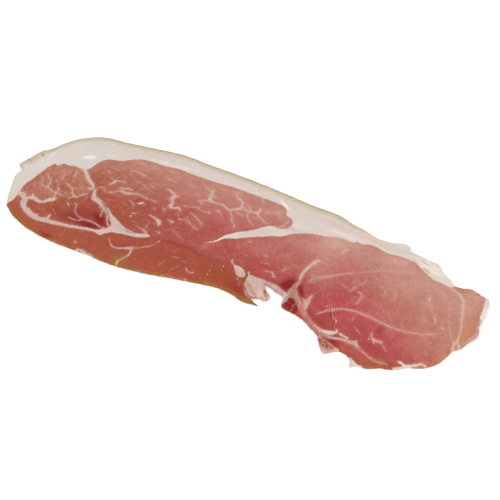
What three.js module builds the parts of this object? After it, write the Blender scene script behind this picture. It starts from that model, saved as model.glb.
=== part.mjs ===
// One thin slice of dry-cured ham, lying as it was put down: a boned leg cut straight across.
//
// The slice is one piece of meat, so it is one closed solid. Its long upper edge is the rind over
// a cap of fat, its long lower edge is the dried face of the lean, and the notch in that edge is
// where the thigh bone was taken out. Millimetres, +Z up; the origin is under the middle of the
// slice, on the surface it lies on, and +X runs along the slice towards the knuckle end.
import * as THREE from "three";
import { ConvexHull } from "three/addons/math/ConvexHull.js";

// ---- Driving dimensions -------------------------------------------------------------------

const LEAN_THICKNESS = 1.3;
const FAT_SWELL = 0.25; // how much thicker the fat cap is cut than the lean
const FAT_DEPTH = 14; // how far in from the rind the swell of the fat cap reaches
const RIND_BEAD = 0.7; // the rind shrinks less than the fat, and stands above it
const RIND_WIDTH = 2.6;
const EDGE_DROP = 0.3; // the cut edges are worn round
const SLACK = 0.3; // folds lower than this lie flat
const INNER_STEP = 3.5; // spacing of the surface points
const EDGE_STEP = 2.1; // spacing of the points along the outline
const NOTCH_STEP = 1.3; // the same where the outline turns back on itself
const INNER_MARGIN = 0.62; // of a step, kept clear between surface points and the outline
const JITTER = 0.16; // of a step, so that no four points lie on one circle
const FRAY_TURNS = [1.9, 0.83]; // radians from point to point, of the two waves of a frayed edge
const BOWL = 100; // how wide open the bowl is that triangulate raises the points onto
const SEED = 20417;

// ---- Outline ------------------------------------------------------------------------------

// Clockwise from the tip of the rind, seen from above. Each stretch starts where the last one
// ends, runs smoothly through its points, and is frayed in and out by up to "fray".
const OUTLINE = [
  {
    name: "rind",
    fray: 0.1,
    points: [
      [-139.6, -6.3], [-136.7, 0.6], [-133.6, 10.8], [-130.1, 22.8], [-123.4, 32.8],
      [-113.3, 40], [-98.8, 42.7], [-80.8, 46.2], [-63.8, 49.4], [-45.8, 49.2], [-25.8, 49.4],
      [-0.8, 48.6], [21.2, 46.9], [39.2, 46.6], [51.2, 43.4], [65.2, 40.1],
    ],
  },
  {
    name: "loose fat at the end of the rind",
    fray: 0.35,
    points: [
      [65.2, 40.1], [73.2, 41.2], [78.7, 44], [82.7, 43.4], [86.2, 39.4], [93.2, 38.7],
      [101.7, 38.4], [104.7, 35.4], [111, 30.4], [115.4, 27],
    ],
  },
  {
    name: "outer muscle at the knuckle end",
    fray: 0.3,
    points: [
      [115.4, 27], [120.2, 28.1], [125.2, 29.7], [129.7, 27.5], [135.5, 24.3], [137, 16.3],
      [137.6, 10], [137.4, 5], [139.6, -1.5], [136.6, -6.5], [134.9, -12.2], [132.4, -15],
    ],
  },
  {
    name: "round end of the thigh muscle",
    fray: 0.25,
    points: [
      [132.4, -15], [131.3, -19.8], [129.4, -26.1], [125.4, -31.6], [117.9, -36],
      [112.5, -40.5], [106.5, -42.8], [101.5, -45.9], [96, -47.5], [93.5, -49.5],
    ],
  },
  {
    name: "tabs of fat under it",
    fray: 0.25,
    points: [
      [93.5, -49.5], [92.5, -47.2], [90.5, -44], [84.8, -42.6], [80.8, -46.5], [78.7, -47.9],
      [75.5, -45], [72.4, -41.4], [71, -38.8],
    ],
  },
  {
    name: "gristle beside the bone",
    fray: 0.25,
    step: NOTCH_STEP,
    points: [
      [71, -38.8], [66.4, -36.5], [58.2, -32.4], [52.2, -31.2], [45.7, -30.2], [44.4, -26.6],
      [42.9, -23.6], [37.1, -21.9], [30, -20],
    ],
  },
  {
    name: "lump of fat in the notch",
    fray: 0.15,
    step: NOTCH_STEP,
    points: [
      [30, -20], [33, -23.3], [35.6, -26.4], [38.2, -27.1], [37.6, -29.8], [35.7, -31.3],
      [34, -30.4], [31.2, -32.2], [28.2, -32.6],
    ],
  },
  {
    name: "slit above the tip",
    fray: 0,
    step: NOTCH_STEP,
    points: [[28.2, -32.6], [31.7, -34], [35.3, -35.4]],
  },
  {
    name: "dried face of the lean",
    fray: 0.12,
    points: [
      [35.3, -35.4], [30.2, -36.3], [25.2, -36.6], [18.7, -34.8], [9.7, -34.7], [-0.8, -37.1],
      [-12.8, -40.2], [-30.8, -45.1], [-48.3, -47.7], [-62.8, -47.7], [-80.8, -48.6],
      [-91.8, -48.1], [-103.8, -46.3], [-115.3, -42.4], [-124.6, -36.8],
    ],
  },
  {
    name: "end of the fat cap",
    fray: 0.2,
    points: [
      [-124.6, -36.8], [-129.8, -28], [-134.5, -18.4], [-136.8, -13], [-136, -7.5],
      [-139.6, -6.3],
    ],
  },
];

// ---- Relief -------------------------------------------------------------------------------

// Where the slice stands off the surface: ridges from "from" to "to", "high" at the crest, that
// die away over "reach".
const FOLDS = [
  { name: "crease above the lean strip", from: [-49, -21], to: [9, -20], high: 2.2, reach: 9 },
  { name: "mound of the thigh muscle", from: [83, 6], to: [111, 4], high: 2.0, reach: 20 },
  { name: "swell of the long muscle", from: [-96, 10], to: [-46, 8], high: 1.0, reach: 16 },
  { name: "curl of the rind's tip", from: [-142, -1], to: [-134, 7], high: 3.0, reach: 7 },
  { name: "rise of the outer muscle", from: [137, 22], to: [140, 2], high: 2.2, reach: 8 },
  { name: "first ruffle of the fat", from: [59, 44], to: [49, 34], high: 0.9, reach: 5 },
  { name: "second ruffle of the fat", from: [91, 44], to: [83, 32], high: 1.3, reach: 5 },
  { name: "third ruffle of the fat", from: [115, 34], to: [107, 24], high: 0.8, reach: 5 },
  { name: "rise of the fat in the notch", from: [17, -20], to: [33, -28], high: 1.0, reach: 6 },
];

// Where the slice is thicker: the lumps and cords left round the bone.
const LUMPS = [
  { name: "small lump", from: [13, -20], to: [17, -22], high: 1.1, reach: 3 },
  { name: "large lump", from: [24, -25], to: [30, -28], high: 1.9, reach: 4.6 },
  { name: "curled end", from: [36, -28], to: [36, -30.5], high: 0.9, reach: 1.8 },
  { name: "upper cord", from: [32, -20.5], to: [47, -21.5], high: 0.9, reach: 2.4 },
  { name: "lower cord", from: [49, -22], to: [71, -37], high: 1.1, reach: 3 },
  { name: "dark knot", from: [47, -28], to: [52, -29.5], high: 0.8, reach: 2.2 },
  { name: "seam under the thigh muscle", from: [69, -36], to: [91, -38], high: 0.6, reach: 2.6 },
];

const { clamp, seededRandom } = THREE.MathUtils;

/** How far (x, y) is from the straight line between two points. */
function distanceToSegment(x, y, [x0, y0], [x1, y1]) {
  const dx = x1 - x0;
  const dy = y1 - y0;
  const along = clamp(((x - x0) * dx + (y - y0) * dy) / (dx * dx + dy * dy), 0, 1);
  return Math.hypot(x - x0 - along * dx, y - y0 - along * dy);
}

/** The sum at (x, y) of rounded ridges, as FOLDS and LUMPS list them. */
function sumOfRidges(ridges, x, y) {
  return ridges.reduce((sum, { from, to, high, reach }) => {
    const share = distanceToSegment(x, y, from, to) / reach;
    return sum + high * Math.exp(-share * share);
  }, 0);
}

// ---- Outline points -----------------------------------------------------------------------

/** One stretch as evenly spaced points, frayed at right angles to the edge, without its last. */
function sampleStretch({ points, fray, step = EDGE_STEP }, phase) {
  const [quick, slow] = FRAY_TURNS;
  const corners = points.map(([x, y]) => new THREE.Vector3(x, y, 0));
  const curve = new THREE.CatmullRomCurve3(corners, false, "centripetal");
  const count = Math.max(2, Math.round(curve.getLength() / step));
  return curve.getSpacedPoints(count).slice(0, count).map((point, i) => {
    const tangent = curve.getTangentAt(i / count);
    const taper = Math.min(1, i, count - i);
    const push = fray * taper * Math.sin(quick * i + phase) * Math.cos(slow * i + 2 * phase);
    return new THREE.Vector2(point.x - tangent.y * push, point.y + tangent.x * push);
  });
}

const outline = OUTLINE.flatMap((stretch, number) => sampleStretch(stretch, number));
const rindLine = OUTLINE[0].points;

/** Whether (x, y) lies inside a closed outline. */
function isInside(x, y, ring) {
  let inside = false;
  ring.forEach((a, i) => {
    const b = ring[(i + 1) % ring.length];
    if (a.y > y !== b.y > y && x < a.x + ((y - a.y) * (b.x - a.x)) / (b.y - a.y)) inside = !inside;
  });
  return inside;
}

/** How far (x, y) is from a line of points, closed or not. */
function distanceToLine(x, y, line, closed) {
  let nearest = Infinity;
  for (let i = closed ? 0 : 1; i < line.length; i++) {
    nearest = Math.min(nearest, distanceToSegment(x, y, line.at(i - 1), line[i]));
  }
  return nearest;
}

// ---- Heights ------------------------------------------------------------------------------

/** Height of the underside: zero where the slice lies flat. */
function undersideAt(x, y) {
  return Math.max(0, sumOfRidges(FOLDS, x, y) - SLACK);
}

/** Thickness of the slice, with the fat cap, the bead of the rind and the lumps. */
function thicknessAt(x, y) {
  const fromRind = distanceToLine(x, y, rindLine, false);
  const fat = FAT_SWELL * clamp(1 - fromRind / FAT_DEPTH, 0, 1);
  const rind = RIND_BEAD * Math.exp(-((fromRind / RIND_WIDTH) ** 2));
  return LEAN_THICKNESS + fat + rind + sumOfRidges(LUMPS, x, y);
}

// ---- Surface ------------------------------------------------------------------------------

/** Points over the inside of the outline, on a slightly uneven triangular lattice. */
function innerPoints(ring) {
  seededRandom(SEED);
  const line = ring.map(({ x, y }) => [x, y]);
  const { min, max } = new THREE.Box2().setFromPoints(ring);
  const rowStep = (INNER_STEP * Math.sqrt(3)) / 2;
  const margin = INNER_MARGIN * INNER_STEP;
  const found = [];
  for (let row = 0, y = min.y; y < max.y; row++, y += rowStep) {
    for (let x = min.x + (row % 2) * (INNER_STEP / 2); x < max.x; x += INNER_STEP) {
      const px = x + JITTER * INNER_STEP * (seededRandom() - 0.5);
      const py = y + JITTER * INNER_STEP * (seededRandom() - 0.5);
      if (isInside(px, py, ring) && distanceToLine(px, py, line, true) > margin) {
        found.push(new THREE.Vector2(px, py));
      }
    }
  }
  return found;
}

/** Delaunay triangles of flat points: the underside of their hull, raised onto a round bowl. */
function triangulate(points) {
  const raised = points.map(({ x, y }) => new THREE.Vector3(x, y, (x * x + y * y) / BOWL));
  const numbers = new Map(raised.map((point, i) => [point, i]));
  const hull = new ConvexHull().setFromPoints(raised);
  return hull.faces
    .filter((face) => face.normal.z < 0)
    .map(({ edge }) => [edge.prev, edge.next, edge].map((e) => numbers.get(e.head().point)));
}

/** The closed solid between the top and the underside, with a wall along the outline. */
function buildSlice() {
  const points = [...outline, ...innerPoints(outline)];
  const count = points.length;
  const positions = [];
  const heights = points.map(({ x, y }, i) => {
    const under = undersideAt(x, y);
    const drop = i < outline.length ? EDGE_DROP : 0;
    return { under, top: under + thicknessAt(x, y) - drop };
  });
  points.forEach(({ x, y }, i) => positions.push(x, y, heights[i].top));
  points.forEach(({ x, y }, i) => positions.push(x, y, heights[i].under));

  const faces = [];
  for (const [a, b, c] of triangulate(points)) {
    const x = (points[a].x + points[b].x + points[c].x) / 3;
    const y = (points[a].y + points[b].y + points[c].y) / 3;
    if (!isInside(x, y, outline)) continue;
    const turn = THREE.ShapeUtils.area([points[a], points[b], points[c]]);
    const [p, q, r] = turn > 0 ? [a, b, c] : [a, c, b];
    faces.push(p, q, r, p + count, r + count, q + count);
  }
  const clockwise = THREE.ShapeUtils.area(outline) < 0;
  outline.forEach((_, i) => {
    const next = (i + 1) % outline.length;
    const [a, b] = clockwise ? [next, i] : [i, next];
    faces.push(a, a + count, b + count, a, b + count, b);
  });

  const geometry = new THREE.BufferGeometry();
  geometry.setAttribute("position", new THREE.Float32BufferAttribute(positions, 3));
  geometry.setIndex(faces);
  geometry.computeVertexNormals();
  return geometry;
}

const slice = new THREE.Mesh(
  buildSlice(),
  new THREE.MeshStandardMaterial({ color: 0xb9695c, roughness: 0.5, metalness: 0 }),
);
slice.name = "slice";

const ham = new THREE.Group();
ham.add(slice);
export default ham;
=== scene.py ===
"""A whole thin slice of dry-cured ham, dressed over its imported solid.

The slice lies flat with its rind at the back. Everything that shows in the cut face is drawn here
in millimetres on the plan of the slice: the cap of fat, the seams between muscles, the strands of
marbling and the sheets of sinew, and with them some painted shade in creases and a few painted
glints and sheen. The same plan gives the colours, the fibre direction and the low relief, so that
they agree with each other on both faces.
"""

import logging
import math
from collections.abc import Iterable, Sequence
from dataclasses import dataclass, field
from enum import Enum

import bpy
import numpy as np
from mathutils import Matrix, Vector, noise
from mathutils.bvhtree import BVHTree
from mathutils.geometry import delaunay_2d_cdt


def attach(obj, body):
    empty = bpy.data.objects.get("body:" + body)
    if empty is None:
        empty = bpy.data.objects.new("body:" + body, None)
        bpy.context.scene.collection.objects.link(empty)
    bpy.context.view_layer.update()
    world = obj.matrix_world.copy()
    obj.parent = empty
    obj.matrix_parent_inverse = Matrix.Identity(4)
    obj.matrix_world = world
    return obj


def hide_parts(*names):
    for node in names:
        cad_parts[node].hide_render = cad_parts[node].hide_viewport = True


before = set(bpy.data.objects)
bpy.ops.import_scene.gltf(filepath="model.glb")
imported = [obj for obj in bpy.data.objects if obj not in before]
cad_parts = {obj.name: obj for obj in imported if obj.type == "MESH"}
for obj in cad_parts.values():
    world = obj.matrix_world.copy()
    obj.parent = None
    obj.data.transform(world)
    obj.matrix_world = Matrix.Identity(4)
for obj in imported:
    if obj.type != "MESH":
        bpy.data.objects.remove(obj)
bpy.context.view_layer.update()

LOG = logging.getLogger("ham_slice")
NODE = "slice"
BODY = "root"
MM = 0.001
FAR = 50.0  # from this far above or below, mm, the faces are looked for
MIX_UNDER, MIX_OVER, MIX_RESULT = 6, 7, 2  # the Mix node's colour sockets

Colour = tuple[float, float, float, float]
Plan = tuple[float, float]
Strand = tuple[float, float, float]


def srgb(red: int, green: int, blue: int) -> Colour:
    """A colour as a paint chart gives it, 0 to 255, in the linear values that shaders use."""
    shares = (value / 255 for value in (red, green, blue))
    linear = [s / 12.92 if s <= 0.04045 else ((s + 0.055) / 1.055) ** 2.4 for s in shares]
    return (linear[0], linear[1], linear[2], 1.0)


# ---- Anatomy -------------------------------------------------------------------------------


class Tissue(Enum):
    """What a pale band in the cut face is made of; the value is how pink it looks."""

    CAP = 0.0
    FAT = 0.35
    SHEET = 0.65
    SINEW = 1.0


@dataclass(frozen=True)
class Band:
    """A pale strand in the cut face: a smooth line through points of x, y and half width, mm."""

    name: str
    points: tuple[Strand, ...]
    strength: float = 1.0
    tissue: Tissue = Tissue.FAT
    beads: float = 0.0

    def line(self, step: float) -> np.ndarray:
        """Samples the strand as x, y and half width; beads are this many millimetres apart."""
        line = smooth_line(self.points, step)
        if self.beads:
            runs = np.hypot(*np.diff(line[:, :2], axis=0).T)
            along = np.concatenate([[0], np.cumsum(runs)])
            line[:, 2] *= 0.25 + 0.95 * np.abs(np.sin(along * math.pi / self.beads))
        return line


@dataclass(frozen=True)
class Patch:
    """A soft oval of a tint: middle, half lengths along and across, turn in degrees, amount."""

    x: float
    y: float
    along: float
    across: float
    turn: float
    amount: float


def ovals(*rows: tuple[float, ...]) -> tuple[Patch, ...]:
    """Makes patches of rows that hold their values in order."""
    return tuple(Patch(*row) for row in rows)


@dataclass(frozen=True)
class Muscle:
    """A muscle's place in the cut face, its fibres' direction in degrees from +X, and tints."""

    name: str
    outline: tuple[Plan, ...]
    grain: float
    threads: float = 0.0
    strokes: float = 0.0
    pale: float = 0.0
    rose: float = 0.0
    brown: float = 0.0


@dataclass(frozen=True)
class Ridge:
    """A rounded ridge of low relief along a line, or a groove where its height is negative."""

    name: str
    points: tuple[Plan, ...]
    height: float
    reach: float


@dataclass(frozen=True)
class SpeckRow:
    """Crystals in a row along a line, so far apart and of that radius, mm."""

    name: str
    points: tuple[Plan, ...]
    spacing: float
    radius: float


FAT_CAP: tuple[Plan, ...] = (
    # up the short muscles
    (-126, -39), (-124.2, -35), (-123.6, -31), (-124.2, -26.5), (-126.3, -19), (-125.6, -12), (-125.2, -5),
    (-124.6, 0), (-123.8, 3.6), (-122.6, 5.8), (-121.2, 4.8), (-120, 5.6), (-118.9, 8.2), (-116, 8.3),
    (-113.6, 9), (-111.4, 9.9), (-109, 9.1), (-106, 9.4), (-103.6, 10.2),
    # over the long muscle
    (-102.6, 13), (-101.7, 19), (-99.4, 23.6), (-95, 25.7), (-90.5, 27.6), (-86.4, 31.6), (-82, 34.1),
    (-76, 35.2), (-67, 35.7), (-59, 37.3), (-50, 37.2), (-38, 37.4), (-24, 38.7), (-8, 39.1), (4, 38.9),
    (8.6, 38.3), (11.6, 36.9), (13.2, 35), (13.7, 33.2), (14.8, 32.2), (16.6, 31.8), (18.4, 31),
    (19.9, 29.4), (20.6, 27), (20.3, 25), (19.4, 23), (17.4, 21.4), (15.4, 20.8), (13.2, 21.2),
    (11.4, 20.6), (9.7, 19.5), (8.4, 17.9), (7, 15.9), (5.4, 13.8), (3.6, 11.8), (1.8, 9.9), (-0.6, 8.2),
    (-2.6, 6.4), (-3.4, 4.8), (-5.2, 2.8), (-6.6, 0.8), (-7.3, -1.2), (-7.7, -3.1), (-8.8, -5.1),
    (-10.4, -7), (-12, -8.8),
    # back along the wedge of fat, over the thigh muscles
    (-9.4, -7.2), (-7.4, -5), (-6.4, -2.9), (-5.3, -0.9), (-3.9, 0), (-1.9, 1), (0.2, 2.3), (1.7, 3.7),
    (4.1, 5.6), (6.6, 7.5), (9.1, 9), (11.6, 10.6), (14.1, 12.5), (16, 13.9), (18.1, 14.8), (20, 15.9),
    (21.6, 17.6), (23.6, 20), (26.1, 22), (29, 24), (31.6, 25.4), (34.2, 26.5), (40, 27.8), (46, 30),
    (50, 30.6), (54, 30.6), (56.4, 31.3), (57.7, 32.4), (59.6, 31.8), (61.2, 32.2), (63.4, 33.3),
    (66.4, 33.8), (69.4, 33.5), (72, 32.8), (76, 32.1), (80, 32), (84, 32.4), (88.4, 32.9), (91.4, 32.7),
    (94, 31.4), (97, 29.4), (100, 27.7), (103, 25.7), (105, 24.6), (107.4, 24.3), (110.4, 24.7),
    (113.4, 24.9), (115.6, 25.6),
    # and round outside the slice
    (116, 27), (122, 40), (90, 62), (-60, 66), (-150, 45), (-155, -30), (-135, -50),
)

SEAM_KNOT: tuple[Plan, ...] = (
    (-71, -14.8), (-65, -16.6), (-60, -19.2), (-56, -21.2), (-51.5, -22.5), (-47.5, -22.7), (-44.3, -21.8),
    (-42.6, -20.3), (-39.3, -21.2), (-41, -22.8), (-45.5, -25), (-51, -26), (-57, -26.6), (-60.7, -27.3),
    (-63, -29.6), (-64.4, -32), (-67, -31.6), (-68.2, -30), (-66.4, -27.6), (-64.2, -25), (-64, -22.3),
    (-66.8, -19.4),
)

NOTCH_FAT: tuple[Plan, ...] = (
    (19.2, -17.9), (21.2, -19.8), (23.5, -19.4), (26.2, -19.2), (28.2, -18.8), (30, -19.6), (34, -19.8),
    (37, -19.7), (40, -20.4), (42.6, -20.9), (44, -21.2), (45.6, -22.6), (46.6, -24.6), (46.2, -28),
    (44.6, -29.4), (42, -27), (39, -25.4), (41, -29), (39, -32), (33, -34), (29.4, -33), (27.6, -32),
    (25.8, -30.6), (23.8, -28.6), (22.2, -26.4), (21.5, -23.6), (21.2, -21),
)

SMALL_LUMP: tuple[Plan, ...] = (
    (11.6, -18.7), (13.4, -18.1), (15.4, -18), (17.2, -18.9), (18.8, -20.2), (19.9, -21.6), (20.1, -23),
    (18.8, -24.1), (16.6, -24), (14.8, -22.9), (13.4, -21.3), (12, -19.8),
)

LOWER_TABS: tuple[Plan, ...] = (
    (71.2, -39.4), (73, -39.3), (75, -40.2), (76.8, -40), (78.4, -41.2), (80.2, -41.5), (82, -42.2),
    (84.2, -42.5), (86.5, -45), (79, -52), (72, -46),
)

CORNER_TAB: tuple[Plan, ...] = (
    (90.5, -44.4), (93, -45), (96, -46.3), (99.5, -46.8), (98, -50), (93, -52), (90, -48),
)

FLAP_RIM: tuple[Plan, ...] = (
    (124, 30.6), (127, 28), (131, 26.2), (132.8, 24.8), (134, 21), (134.9, 16.5), (135.3, 12), (136, 9.6),
    (137.4, 9), (143, 9), (143, 30),
)

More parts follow.
